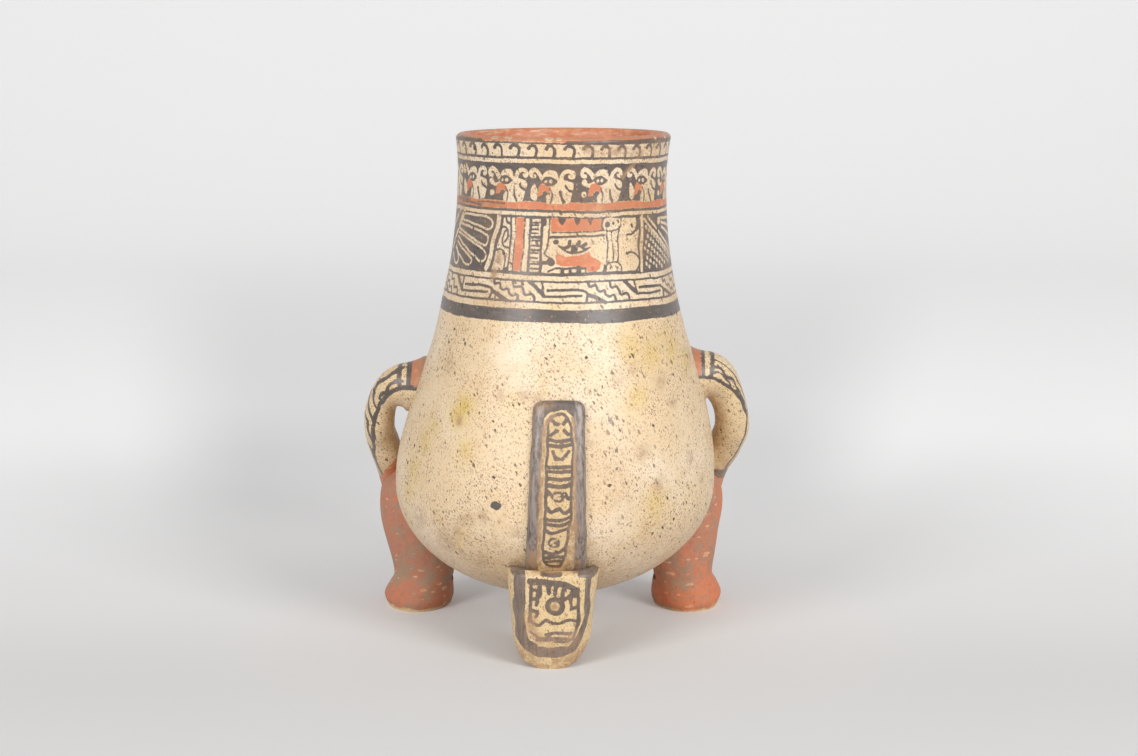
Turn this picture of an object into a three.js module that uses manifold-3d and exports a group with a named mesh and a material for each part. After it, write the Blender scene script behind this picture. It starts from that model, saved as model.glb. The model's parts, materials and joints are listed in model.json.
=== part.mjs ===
// Tripod pot of fired clay, a seated big cat: a pear-shaped jar on two hollow hind legs and a tail support.
// Clay arms loop from the shoulders down to the knees, a tail strap runs down the back, and a hollow head
// looks out of the front. Loose clay pellets lie in the legs and the head, so the pot rattles when shaken.
// Every piece that the potter shaped by itself and luted on with slip is its own mesh.
//
// Millimetres, +Z up, floor at z = 0. Until the last group the jar's axis is the Z axis, the animal faces
// +Y, its tail hangs down the -Y side and its right-hand pieces, seen from behind, lie on the +X side.

import * as THREE from "three";
import { mergeVertices } from "three/addons/utils/BufferGeometryUtils.js";
import Module from "manifold-3d";

const wasm = await Module();
wasm.setup();

// Jar
const bellyRadius = 97; // widest outside radius
const bellyHeight = 91; // height of the widest ring
const bowlDepth = 68; // widest ring down to the underside
const neckRise = 184; // widest ring up to the waist of the neck
const neckRadius = 62.2; // outside radius at the waist
const bellyFullness = 62; // how far the wall stays upright above the belly
const neckFullness = 90; // how far it stays upright below the waist
const wall = 6.4;
const bowlFloor = 8; // wall under the middle of the bowl
const shoulderJointRise = 54; // widest ring up to the coil where the shoulder was added
const neckJointRise = 109; // and up to the coil where the neck was added
const lipRise = 26; // waist up to the top of the lip
const lipRadius = 63.8; // outside radius of the lip
const lipCoil = 9; // height of the coil that makes the lip

// Hollow legs
const legForward = 45; // middle of the shank in front of the jar's axis
const kneeRise = 3; // top of the knee above the widest ring
const kneeRound = 20; // height of the knee's rounded top
const kneeBack = 4; // the knee leans back over the shank
const calfHeight = 56; // height of the widest part of the leg
const thighWidth = 46;
const thighDepth = 50;
const ankleHeight = 19;
const ankleWidth = 40;
const ankleDepth = 40;
const ankleTuck = 1.6; // the ankle lies nearer the jar than the foot
const footWidth = 46;
const footLength = 60;
const footOverhang = 10.5; // how far a foot stands out beside the belly
const toeReach = 6; // middle of the foot in front of the shank
const legWall = 6;
const soleThickness = 6;
const soleBevel = 2; // how far the sole is drawn in at the floor
const ventLength = 12;
const ventWidth = 4;

// Arms
const armOverhang = 22; // elbow out beyond the belly
const shoulderThickness = 30;
const armDepth = 20;
const bendRise = 4; // the upper bend lies above the middle of the upper arm
const elbowRise = 30;
const shoulderForward = 5;
const elbowForward = 21;
const pawForward = 42;
const pawDepth = 23;
const pawCurl = 5; // the tip of the paw bends in and ahead over the knee
const pawDrop = 10; // and down
const armEmbed = 8; // length of the root that the jar's wall trims off

// The two hand-shaped sides differ a little. Tucks draw the arm in towards the jar.
const sides = {
  left: { sign: -1, thighOverhang: 13, shoulderRise: 57, armThickness: 19, bendTuck: 3.5, pawTuck: 5 },
  right: { sign: 1, thighOverhang: 8, shoulderRise: 63.5, armThickness: 21, bendTuck: 5.5, pawTuck: 9 },
};

// Tail
const tailWidth = 52;
const tailDepth = 36;
const tailToeWidth = 24;
const tailToeDepth = 22;
const toeRound = 26; // height of the rounded toe
const toeTuck = 1; // the toe is drawn in at the floor
const tailDrop = 34; // top of the support below the widest ring
const tailOverhang = 0.8; // support out beyond the belly
const tailWall = 8;
const ledgeRound = 3; // rounded top edge of the support
const strapRise = 63; // top of the strap above the widest ring
const strapTopWidth = 30;
const strapFootWidth = 33;
const strapOffset = 1.5; // the strap sits off the middle of the back
const strapRelief = 4.2;
const strapCorner = 3; // rounding of the strap's top corners

// Head
const headRise = 66; // middle of the head above the widest ring
const headWidth = 66;
const headHeight = 60;
const headReach = 54; // front of the muzzle out from the jar's wall
const skullHalf = 31; // half the skull's length
const muzzleWidth = 46;
const muzzleHeight = 36;
const muzzleLength = 18;
const muzzleDrop = 6; // the muzzle sits below the middle of the head
const muzzleRound = 9;
const headWall = 7;
const mouthGape = 6;
const mouthDepth = 24;
const earWidth = 25;
const earHeight = 15;
const earThickness = 10;
const earSunk = 4; // foot of the ear that the head trims off
const earAngle = 48; // degrees up from the cheek
const eyeRadius = 8;
const eyeRelief = 3.4;
const eyeAngle = 42;
const noseWidth = 20;
const noseHeight = 11;
const noseRelief = 4;

// Rattle pellets
const pelletRadius = 4.2;
const pelletSpacing = 10.4;
const pelletClearance = 0.4;

// Shared
const seam = 0.3; // slip-filled joint between two luted pieces
const lean = 0.024; // sideways drift for each millimetre of height
const jarSegments = 48;
const limbSides = 20;
const slimSides = 16;
const stepsPerRing = 2; // loops for each ring of a limb
const armStepsPerRing = 3; // and of an arm, which bends more
const bowlSteps = 9; // facets up the bowl
const wallSteps = 4; // up each coiled wall
const neckSteps = 5; // up the neck below its waist
const lipSteps = 2; // up the flare above the waist
const crownSteps = 6; // over the round of the lip
const strapSteps = 12; // down the tail strap
const massSteps = 12; // up the wall of the mass that trims the limbs

const kneeHeight = bellyHeight + kneeRise;
const waistHeight = bellyHeight + neckRise;
const lipTop = waistHeight + lipRise;
const lipJoint = lipTop - lipCoil;
const shoulderJoint = bellyHeight + shoulderJointRise;
const neckJoint = bellyHeight + neckJointRise;
const footAcross = bellyRadius + footOverhang - footWidth / 2;
const tailTop = bellyHeight - tailDrop;
const tailBack = bellyRadius + tailOverhang;
const headCentre = bellyHeight + headRise;

const v2 = (x, y) => new THREE.Vector2(x, y);
const v3 = (x, y, z) => new THREE.Vector3(x, y, z);
const midway = (a, b) => (a + b) / 2;
const ahead = v3(0, 1, 0);
const across = v3(1, 0, 0);
const up = v3(0, 0, 1);

const creamSlip = new THREE.MeshStandardMaterial({ color: "#ddcdae", roughness: 0.5, metalness: 0 });
const orangeSlip = new THREE.MeshStandardMaterial({ color: "#c0694a", roughness: 0.6, metalness: 0 });
const bareClay = new THREE.MeshStandardMaterial({ color: "#b08a66", roughness: 0.9, metalness: 0 });

// Solids and meshes

function solidFrom(geometry) {
  const bare = geometry.clone();
  bare.deleteAttribute("normal");
  bare.deleteAttribute("uv");
  const merged = mergeVertices(bare, 1e-3);
  const vertProperties = merged.attributes.position.array;
  const triVerts = new Uint32Array(merged.index.array);
  return new wasm.Manifold(new wasm.Mesh({ numProp: 3, vertProperties, triVerts }));
}

function geometryFrom(solid) {
  const { vertProperties, triVerts, numProp } = solid.getMesh();
  const geometry = new THREE.BufferGeometry();
  geometry.setAttribute("position", new THREE.BufferAttribute(vertProperties, numProp));
  geometry.setIndex(new THREE.BufferAttribute(triVerts, 1));
  geometry.computeVertexNormals();
  return geometry;
}

function piece(name, solid, material) {
  const mesh = new THREE.Mesh(geometryFrom(solid), material);
  mesh.name = name;
  return mesh;
}

// Turns a closed outline of (radius, height) points about the jar's axis.
function turned(outline) {
  return solidFrom(new THREE.LatheGeometry(outline, jarSegments).rotateX(Math.PI / 2));
}

// Skins a stack of loops and closes both ends with a fan.
function skinned(loops) {
  const count = loops[0].length;
  const points = loops.flat();
  const index = [];
  for (let row = 0; row < loops.length - 1; row++) {
    for (let k = 0; k < count; k++) {
      const a = row * count + k;
      const b = row * count + ((k + 1) % count);
      index.push(a, b, a + count, b, b + count, a + count);
    }
  }
  const lastRow = (loops.length - 1) * count;
  const firstMiddle = points.push(middleOf(loops[0])) - 1;
  const lastMiddle = points.push(middleOf(loops[loops.length - 1])) - 1;
  for (let k = 0; k < count; k++) {
    const next = (k + 1) % count;
    index.push(firstMiddle, next, k);
    index.push(lastMiddle, lastRow + k, lastRow + next);
  }
  const geometry = new THREE.BufferGeometry().setFromPoints(points).setIndex(index);
  if (signedVolume(points, index) < 0) {
    geometry.setIndex(index.reverse());
  }
  return solidFrom(geometry);
}

function middleOf(loop) {
  return loop.reduce((sum, p) => sum.add(p), v3(0, 0, 0)).divideScalar(loop.length);
}

function signedVolume(points, index) {
  let volume = 0;
  for (let i = 0; i < index.length; i += 3) {
    const [a, b, c] = [points[index[i]], points[index[i + 1]], points[index[i + 2]]];
    volume += a.dot(b.clone().cross(c)) / 6;
  }
  return volume;
}

// One loop: a superellipse about centre with half sizes along u and v. Squareness 2 is an ellipse.
function loop(centre, u, v, halfU, halfV, count, squareness = 2) {
  return Array.from({ length: count }, (_, k) => {
    const angle = (2 * Math.PI * k) / count;
    return onLoop(centre, u, v, halfU, halfV, squareness, angle);
  });
}

function onLoop(centre, u, v, halfU, halfV, squareness, angle) {
  const corner = (value) => Math.sign(value) * Math.abs(value) ** (2 / squareness);
  const point = centre.clone().addScaledVector(u, halfU * corner(Math.cos(angle)));
  return point.addScaledVector(v, halfV * corner(Math.sin(angle)));
}

// Rings give a centre and the full width and depth there; in between, all of them follow smooth curves.
function alongRings(rings) {
  const centres = new THREE.CatmullRomCurve3(rings.map((r) => r.at));
  const sizes = new THREE.CatmullRomCurve3(rings.map((r) => v3(r.width / 2, r.depth / 2, 0)));
  sizes.curveType = "catmullrom";
  return (share) => ({
    centre: centres.getPoint(share),
    tangent: centres.getTangent(share),
    half: sizes.getPoint(share),
  });
}

function shares(from, to, steps) {
  return Array.from({ length: steps + 1 }, (_, i) => from + ((to - from) * i) / steps);
}

// Rings of a rounded end: each one's share of the full size, and of the rise from the foot of the round.
// The round stops a little short of a full quarter turn, so its last ring still has a size.
const domeShare = 0.95;
const dome = shares(0, (domeShare * Math.PI) / 2, 3).map((angle) => {
  return { size: Math.cos(angle), rise: Math.sin(angle) };
});

// Level loops stacked up the rings, from one ring to another, made thicker all round by grow.
function levelStack(rings, { grow = 0, from = 0, to = rings.length - 1, squareness = 2 }) {
  const at = alongRings(rings);
  const spans = rings.length - 1;
  return skinned(
    shares(from / spans, to / spans, (to - from) * stepsPerRing).map((share) => {
      const { centre, half } = at(share);
      return loop(centre, across, ahead, half.x + grow, half.y + grow, limbSides, squareness);
    }),
  );
}

// The parameter in 0 to 1 up to which a rising measure stays below the target.
function parameterAt(measure, target) {
  const halvings = 40;
  let [low, high] = [0, 1];
  for (let i = 0; i < halvings; i++) {
    const middle = midway(low, high);
    if (measure(middle) < target) low = middle;
    else high = middle;
  }
  return midway(low, high);
}

// Jar

const wallCurve = new THREE.CubicBezierCurve(
  v2(bellyRadius, bellyHeight),
  v2(bellyRadius, bellyHeight + bellyFullness),
  v2(neckRadius, waistHeight - neckFullness),
  v2(neckRadius, waistHeight),
);
const lipSpring = lipTop - wall / 2; // where the round of the lip begins
const lipCurve = new THREE.QuadraticBezierCurve(
  v2(neckRadius, waistHeight),
  v2(neckRadius, midway(waistHeight, lipSpring)),
  v2(lipRadius, lipSpring),
);

const onCurve = (curve, height) => parameterAt((t) => curve.getPoint(t).y, height);

function bowlArc(radius, depth, steps) {
  return shares(-Math.PI / 2, 0, steps).map((angle) =>
    v2(radius * Math.cos(angle), bellyHeight + depth * Math.sin(angle)),
  );
}

function curveStretch(curve, low, high, steps) {
  const [from, to] = [onCurve(curve, low), onCurve(curve, high)];
  return shares(from, to, steps).map((t) => curve.getPoint(t));
}

// Outside of the whole jar's wall, from the underside to the lip.
function wallRadius(height) {
  if (height < bellyHeight) {
    const drop = Math.min(1, (bellyHeight - height) / bowlDepth);
    return bellyRadius * Math.sqrt(1 - drop * drop);
  }
  const curve = height < waistHeight ? wallCurve : lipCurve;
  return curve.getPoint(onCurve(curve, height)).x;
}

const inside = (points) => points.map((p) => v2(p.x - wall, p.y)).reverse();
const closed = (points) => [...points, points[0].clone()];

function makeBowl() {
  const outer = bowlArc(bellyRadius, bowlDepth, bowlSteps);
  const inner = bowlArc(bellyRadius - wall, bowlDepth - bowlFloor, bowlSteps);
  return turned([...outer, ...inner.reverse()]);
}

function makeWall(low, high) {
  const outer = curveStretch(wallCurve, low, high, wallSteps);
  return turned(closed([...outer, ...inside(outer)]));
}

function makeNeckWall() {
  const outer = curveStretch(wallCurve, neckJoint, waistHeight, neckSteps);
  outer.push(...curveStretch(lipCurve, waistHeight, lipJoint, lipSteps).slice(1));
  return turned(closed([...outer, ...inside(outer)]));
}

function makeRimLip() {
  const outer = curveStretch(lipCurve, lipJoint, lipSpring, lipSteps);
  const middle = v2(lipRadius - wall / 2, lipSpring);
  const round = shares(0, Math.PI, crownSteps).slice(1, -1);
  const crown = round.map((a) => v2(Math.cos(a), Math.sin(a)).multiplyScalar(wall / 2).add(middle));
  return turned(closed([...outer, ...crown, ...inside(outer)]));
}

// The jar as one full mass, a seam larger than its outside, to trim what is luted on.
const massWall = curveStretch(wallCurve, bellyHeight, waistHeight, massSteps).slice(1);
const jarMass = turned([
  ...bowlArc(bellyRadius + seam, bowlDepth + seam, bowlSteps),
  ...massWall.map((p) => v2(p.x + seam, p.y)),
  v2(0, waistHeight),
]);

// Legs

function legRings({ sign, thighOverhang }) {
  const thighAcross = bellyRadius + thighOverhang - thighWidth / 2;
  const kneeFoot = kneeHeight - kneeRound;
  const instep = midway(soleThickness, ankleHeight);
  const footAhead = legForward + toeReach;
  const instepAhead = midway(legForward, footAhead);
  const kneeAhead = legForward - kneeBack;
  const ring = (x, y, z, width, depth) => ({ at: v3(sign * x, y, z), width, depth });
  return [
    ring(footAcross, footAhead, 0, footWidth - 2 * soleBevel, footLength - 2 * soleBevel),
    ring(footAcross, footAhead, soleThickness, footWidth, footLength),
    ring(footAcross - ankleTuck, instepAhead, instep, ankleWidth, midway(footLength, ankleDepth)),
    ring(footAcross - ankleTuck, legForward, ankleHeight, ankleWidth, ankleDepth),
    ring(thighAcross, legForward, calfHeight, thighWidth, thighDepth),
    ...dome.map(({ size, rise }) =>
      ring(thighAcross, kneeAhead, kneeFoot + kneeRound * rise, thighWidth * size, thighDepth * size),
    ),
  ];
}
const soleRing = 1;
const kneeRing = legRings(sides.left).length - dome.length;

// The slit lets steam out of the hollow leg in the kiln; it faces the middle of the pot.
function ventSlit({ sign }) {
  const slot = new THREE.Shape();
  const half = (ventLength - ventWidth) / 2;
  slot.absarc(half, 0, ventWidth / 2, -Math.PI / 2, Math.PI / 2);
  slot.absarc(-half, 0, ventWidth / 2, Math.PI / 2, (3 * Math.PI) / 2);
  const cut = new THREE.ExtrudeGeometry(slot, { depth: footWidth, bevelEnabled: false, curveSegments: 4 });
  cut.rotateY((-sign * Math.PI) / 2);
  cut.translate(sign * footAcross, legForward, soleThickness + ventLength);
  return solidFrom(cut);
}

function makeLeg(side) {
  const outer = levelStack(legRings(side), { from: soleRing });
  const hollow = levelStack(legRings(side), { grow: -legWall, to: kneeRing });
  return outer.subtract(hollow).subtract(ventSlit(side)).subtract(jarMass);
}

function makeSole(side) {
  return levelStack(legRings(side), { to: soleRing });
}

// The leg as one full mass, a seam larger than its outside, to trim the paw that lies on it.
function legMass(side) {
  const mass = levelStack(legRings(side), { grow: seam, from: soleRing });
  return mass.add(mass.translate([0, 0, seam]));
}

// Arms

function armRings({ sign, shoulderRise, armThickness, bendTuck, pawTuck }) {
  const shoulder = bellyHeight + shoulderRise;
  const elbow = bellyHeight + elbowRise;
  const bend = midway(shoulder, elbow) + bendRise;
  const root = wallRadius(shoulder);
  const flare = midway(shoulderThickness, armThickness);
  const elbowAcross = bellyRadius + armOverhang - armThickness / 2;
  const wristAcross = elbowAcross - pawTuck / 3;
  const pawAcross = elbowAcross - pawTuck;
  const bendForward = midway(shoulderForward, elbowForward);
  const wristForward = midway(elbowForward, pawForward);
  const ring = (x, y, z, width, depth) => ({ at: v3(sign * x, y, z), width, depth });
  return [
    ring(root - armEmbed, shoulderForward, shoulder, shoulderThickness, shoulderThickness),
    ring(root + armEmbed, shoulderForward, shoulder, flare, flare),
    ring(elbowAcross - bendTuck, bendForward, bend, armThickness, armDepth),
    ring(elbowAcross, elbowForward, elbow, armThickness, armDepth),
    ring(wristAcross, wristForward, midway(elbow, kneeHeight), armThickness, armDepth),
    ring(pawAcross, pawForward, kneeHeight, armThickness, pawDepth),
    ring(pawAcross - pawCurl, pawForward + pawCurl, kneeHeight - pawDrop, armThickness / 2, pawDepth / 2),
  ];
}

function makeArm(side) {
  const rings = armRings(side);
  const place = alongRings(rings);
  const loops = shares(0, 1, (rings.length - 1) * armStepsPerRing).map((share) => {
    const { centre, tangent, half } = place(share);
    const deep = ahead.clone().addScaledVector(tangent, -ahead.dot(tangent)).normalize();
    const thick = tangent.clone().cross(deep);
    return loop(centre, thick, deep, half.x, half.y, slimSides);
  });
  return skinned(loops).subtract(jarMass).subtract(legMass(side));
}

// Tail

// A quarter ellipse rounds the toe; the sides then rise straight to a rounded ledge.
function tailRings() {
  const ring = (z, width, depth, tuck) => {
    return { at: v3(0, depth / 2 + tuck - tailBack, z), width, depth };
  };
  const toe = shares(0, Math.PI / 2, 3).map((angle) => {
    const width = tailToeWidth + (tailWidth - tailToeWidth) * Math.sin(angle);
    const depth = tailToeDepth + (tailDepth - tailToeDepth) * Math.sin(angle);
    return ring(toeRound * (1 - Math.cos(angle)), width, depth, toeTuck * (1 - Math.sin(angle)));
  });
  return [
    ...toe,
    ring(tailTop - ledgeRound, tailWidth, tailDepth, 0),
    ring(tailTop, tailWidth - 2 * ledgeRound, tailDepth - 2 * ledgeRound, ledgeRound),
  ];
}
const hollowRing = 2; // ring of the toe that the support's hollow starts from
const tailSquareness = 2.5;
const strapSquareness = 3.2;

function makeTailSupport() {
  const outer = levelStack(tailRings(), { squareness: tailSquareness });
  const hollow = levelStack(tailRings(), { grow: -tailWall, from: hollowRing });
  return outer.subtract(hollow.translate([0, 0, tailWall])).subtract(jarMass);
}

// Everything up to a seam above the support's ledge, which the strap's foot stands on.
function belowLedge() {
  const slab = new THREE.BoxGeometry(2 * tailBack, 2 * tailBack, tailTop);
  return solidFrom(slab.translate(0, -tailBack, seam + tailTop / 2));
}

function makeTailStrap() {
  const top = bellyHeight + strapRise;
  const foot = tailTop - strapRelief * 2;
  const roundedTop = dome.map(({ rise }) => top - strapCorner * (1 - rise)).reverse();
  const heights = [...roundedTop, ...shares(top - strapCorner, foot, strapSteps).slice(1)];
  const loops = heights.map((height) => {
    const near = strapRelief / 4; // half the stretch that gives the wall's slope
    const below = v2(wallRadius(height - near), height - near);
    const slope = v2(wallRadius(height + near), height + near).sub(below).normalize();
    const outwards = v3(0, -slope.y, -slope.x);
    const into = Math.max(0, 1 - (top - height) / strapCorner);
    const drawnIn = strapCorner * (1 - Math.sqrt(1 - into * into));
    const width = strapTopWidth + ((strapFootWidth - strapTopWidth) * (top - height)) / (top - foot);
    const relief = strapRelief - drawnIn / 2;
    const centre = v3(strapOffset, -wallRadius(height), height);
    return loop(centre, across, outwards, width / 2 - drawnIn, relief, slimSides, strapSquareness);
  });
  return skinned(loops).subtract(jarMass).subtract(belowLedge());
}

// Head

const headRoot = wallRadius(headCentre);
const muzzleTip = headRoot + headReach;
const muzzleRoot = muzzleTip - muzzleLength;
const muzzleCentre = headCentre - muzzleDrop;
const skullMiddle = midway(headRoot, muzzleRoot);
const headSquareness = 2.3;

// The skull is a ball whose front runs out into the muzzle.
function headRings(grow) {
  const ring = (y, z, width, height) => {
    return { at: v3(0, y, z), width: width + 2 * grow, depth: height + 2 * grow };
  };
  const skull = shares(-Math.PI / 3, Math.PI / 6, 3).map((angle) => {
    const y = skullMiddle + skullHalf * Math.sin(angle);
    return ring(y, headCentre, headWidth * Math.cos(angle), headHeight * Math.cos(angle));
  });
  const muzzle = dome.map(({ size, rise }) => {
    const y = muzzleTip + grow - muzzleRound * (1 - rise);
    return ring(y, muzzleCentre, muzzleWidth * size, muzzleHeight * size);
  });
  return [...skull, ...muzzle];
}

// The stack may stop some rings short of the muzzle's tip.
function headStack(grow, dropRings = 0) {
  const rings = headRings(grow);
  const place = alongRings(rings);
  const spans = rings.length - 1;
  const used = spans - dropRings;
  return skinned(
    shares(0, used / spans, used * stepsPerRing).map((share) => {
      const { centre, half } = place(share);
      return loop(centre, across, up, half.x, half.y, limbSides, headSquareness);
    }),
  );
}
const headMass = headStack(seam);

// A point of the head's skin, by its distance ahead of the jar's axis and its degrees up from the cheek.
function onHead(y, degrees) {
  const place = alongRings(headRings(0));
  const { centre, half } = place(parameterAt((share) => place(share).centre.y, y));
  return onLoop(centre, across, up, half.x, half.y, headSquareness, THREE.MathUtils.degToRad(degrees));
}

// The mouth is a wedge cut from the front of the muzzle back into the hollow of the head.
function mouthCut() {
  const lipLine = muzzleCentre - mouthGape / 2;
  const front = muzzleTip + seam;
  const back = muzzleTip - mouthDepth;
  const wedge = new THREE.Shape();
  wedge.moveTo(back, lipLine - mouthGape / 4);
  wedge.lineTo(front, lipLine - mouthGape);
  wedge.lineTo(front, lipLine + mouthGape / 2);
  wedge.lineTo(back, lipLine + mouthGape / 4);
  const cut = new THREE.ExtrudeGeometry(wedge, { depth: headWidth * 2, bevelEnabled: false });
  cut.rotateX(Math.PI / 2).rotateZ(Math.PI / 2).translate(-headWidth, 0, 0);
  return solidFrom(cut);
}

function makeHead() {
  return headStack(0).subtract(headStack(-headWall, 2)).subtract(mouthCut()).subtract(jarMass);
}

// Ears, eyes and nose are dabs of clay pressed on to the head.
function makeEar(sign) {
  const foot = onHead(skullMiddle, earAngle).multiply(v3(sign, 1, 1));
  const rise = v3(foot.x, 0, foot.z - headCentre).normalize();
  const wide = rise.clone().cross(ahead);
  const ring = (along, size) => {
    const centre = foot.clone().addScaledVector(rise, along);
    return loop(centre, wide, ahead, (earWidth / 2) * size, (earThickness / 2) * size, slimSides);
  };
  const lug = dome.map(({ size, rise: share }) => ring(earHeight * share, size));
  return skinned([ring(-earSunk, 1), ...lug]).subtract(headMass).subtract(jarMass);
}

function dab(centre, halfWidth, halfDepth, halfHeight) {
  const ball = new THREE.SphereGeometry(1, slimSides, slimSides / 2);
  ball.scale(halfWidth, halfDepth, halfHeight).translate(centre.x, centre.y, centre.z);
  return solidFrom(ball).subtract(headMass);
}

function makeEye(sign) {
  const skin = onHead(muzzleRoot, eyeAngle);
  const outwards = v3(skin.x, headWidth / 2, skin.z - headCentre).normalize();
  const centre = skin.addScaledVector(outwards, eyeRelief - eyeRadius).multiply(v3(sign, 1, 1));
  return dab(centre, eyeRadius, eyeRadius, eyeRadius);
}

function makeNose() {
  const skin = onHead(muzzleTip - noseHeight / 2, 90);
  const centre = skin.add(v3(0, noseRelief / 2, -noseRelief / 2));
  return dab(centre, noseWidth / 2, noseHeight / 2, noseHeight / 2);
}

// Rattle pellets

function pellet(name, x, y, floor) {
  const ball = new THREE.Mesh(new THREE.IcosahedronGeometry(pelletRadius, 1), bareClay);
  ball.position.set(x, y, floor + pelletRadius + pelletClearance);
  ball.name = name;
  return ball;
}

function legPellets(word, { sign }) {
  const middle = midway(legForward, legForward + toeReach);
  return ["front", "back"].map((end, i) => {
    const y = middle + pelletSpacing * (1 / 2 - i);
    return pellet(`${word}_leg_${end}_pellet`, sign * footAcross, y, soleThickness);
  });
}

function headPellets() {
  const floor = headCentre - headHeight / 2 + headWall + pelletClearance;
  return Object.entries(sides).map(([word, { sign }]) =>
    pellet(`head_${word}_pellet`, (sign * pelletSpacing) / 2, skullMiddle, floor),
  );
}

// Assembly

const jar = new THREE.Group();
jar.add(piece("bowl", makeBowl(), creamSlip));
jar.add(piece("belly_wall", makeWall(bellyHeight, shoulderJoint), creamSlip));
jar.add(piece("shoulder_wall", makeWall(shoulderJoint, neckJoint), creamSlip));
jar.add(piece("neck_wall", makeNeckWall(), creamSlip));
jar.add(piece("rim_lip", makeRimLip(), orangeSlip));

const limbs = new THREE.Group();
for (const [word, side] of Object.entries(sides)) {
  limbs.add(piece(`${word}_leg`, makeLeg(side), orangeSlip));
  limbs.add(piece(`${word}_sole`, makeSole(side), bareClay));
  limbs.add(piece(`${word}_arm`, makeArm(side), creamSlip));
  limbs.add(...legPellets(word, side));
}

const tail = new THREE.Group();
tail.add(piece("tail_strap", makeTailStrap(), creamSlip));
tail.add(piece("tail_support", makeTailSupport(), creamSlip));

const head = new THREE.Group();
head.add(piece("head", makeHead(), creamSlip));
head.add(piece("nose", makeNose(), orangeSlip));
for (const [word, { sign }] of Object.entries(sides)) {
  head.add(piece(`${word}_ear`, makeEar(sign), orangeSlip));
  head.add(piece(`${word}_eye`, makeEye(sign), creamSlip));
}
head.add(...headPellets());

// The hand-built pot leans a little to one side; its soles stay flat on the floor. The last move puts the
// origin under the middle of the whole pot, between the back of the tail and the muzzle.
const elbowLevel = bellyHeight + elbowRise;
const jarAxisY = (tailBack - muzzleTip) / 2;
const pot = new THREE.Group();
pot.matrixAutoUpdate = false;
pot.matrix.set(1, 0, lean, -lean * elbowLevel, 0, 1, 0, jarAxisY, 0, 0, 1, 0, 0, 0, 0, 1);
pot.add(jar, limbs, tail, head);

const tripodPot = new THREE.Group();
tripodPot.add(pot);

export default tripodPot;
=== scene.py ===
import json
import math

import bpy
import numpy as np
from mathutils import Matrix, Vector


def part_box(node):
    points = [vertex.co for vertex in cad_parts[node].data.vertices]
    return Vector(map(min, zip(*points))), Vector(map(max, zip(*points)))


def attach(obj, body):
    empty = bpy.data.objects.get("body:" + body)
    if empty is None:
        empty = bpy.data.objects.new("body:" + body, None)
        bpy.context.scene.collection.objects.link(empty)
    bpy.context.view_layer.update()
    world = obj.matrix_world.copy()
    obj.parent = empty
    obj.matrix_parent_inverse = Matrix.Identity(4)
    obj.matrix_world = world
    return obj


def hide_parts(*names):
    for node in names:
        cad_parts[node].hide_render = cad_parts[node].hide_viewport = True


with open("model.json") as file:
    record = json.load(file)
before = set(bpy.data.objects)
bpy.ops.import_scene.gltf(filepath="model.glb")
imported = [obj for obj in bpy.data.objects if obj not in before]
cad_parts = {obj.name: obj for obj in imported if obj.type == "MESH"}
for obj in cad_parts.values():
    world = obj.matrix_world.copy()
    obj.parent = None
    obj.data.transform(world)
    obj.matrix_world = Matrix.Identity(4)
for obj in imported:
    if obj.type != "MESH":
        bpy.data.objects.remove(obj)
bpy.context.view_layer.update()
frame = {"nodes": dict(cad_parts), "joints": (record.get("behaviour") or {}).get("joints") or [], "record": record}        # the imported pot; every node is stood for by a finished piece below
scene = bpy.context.scene
scene.view_settings.view_transform = "Standard"
print("frame loaded:", len(frame["nodes"]), "nodes")


# a node socket that can be used in sums; the same class builds shaders and Geometry Nodes
class Wire:
    def __init__(self, tree, socket=None):
        self.tree = tree
        self.socket = socket

    def node(self, kind, settings=None, sockets=None, out=0):
        made = self.tree.nodes.new(kind)
        for name, value in (settings or {}).items():
            setattr(made, name, value)
        for name, value in (sockets or {}).items():
            if isinstance(value, Wire):
                self.tree.links.new(value.socket, made.inputs[name])
            else:
                made.inputs[name].default_value = value
        return Wire(self.tree, made.outputs[out] if made.outputs else None)

    def __getitem__(self, name):     # another output of the same node
        return Wire(self.tree, self.socket.node.outputs[name])

    def math(self, operation, a, b=0.0):
        return self.node("ShaderNodeMath", {"operation": operation}, {0: a, 1: b})

    def vector(self, operation, a, b, out=0):
        second = "Scale" if operation == "SCALE" else 1
        return self.node("ShaderNodeVectorMath", {"operation": operation}, {0: a, second: b}, out)

    def axis(self, name):
        return self.node("ShaderNodeSeparateXYZ", {}, {0: self}, name)

    def between(self, low, high):    # 0 at low, 1 at high, smooth; low may be the larger one
        steps = {"Value": self, "From Min": low, "From Max": high}
        return self.node("ShaderNodeMapRange", {"interpolation_type": "SMOOTHSTEP"}, steps)

    def mix(self, under, over):      # this share of the colour over on the colour under
        return self.node("ShaderNodeMix", {"data_type": "RGBA"}, {0: self, 6: under, 7: over}, 2)


def addSign(name, operation):    # a sign between sockets, with a plain number on either side
    setattr(Wire, "__%s__" % name, lambda self, other: self.math(operation, self, other))
    setattr(Wire, "__r%s__" % name, lambda self, other: self.math(operation, other, self))


signs = {"add": "ADD", "sub": "SUBTRACT", "mul": "MULTIPLY", "truediv": "DIVIDE", "pow": "POWER"}
for name, operation in signs.items():
    addSign(name, operation)


# how the pot stands: the jar's own upright frame in mm, and the frame's metres
stance = {
    "lean": 0.024,       # drift to the right for each mm of height
    "leanLevel": 121,    # the height that stays where it is
    "axisY": 500 * sum(corner.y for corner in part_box("rim_lip")),
}


def toPart(points):
    x, y, z = np.moveaxis(np.asarray(points, float), -1, 0)
    x = x + stance["lean"] * (z - stance["leanLevel"])
    return np.stack([x, y + stance["axisY"], z], -1) / 1000


def toJar(points):
    x, y, z = np.moveaxis(np.asarray(points, float) * 1000, -1, 0)
    x = x - stance["lean"] * (z - stance["leanLevel"])
    return np.stack([x, y - stance["axisY"], z], -1)


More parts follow.
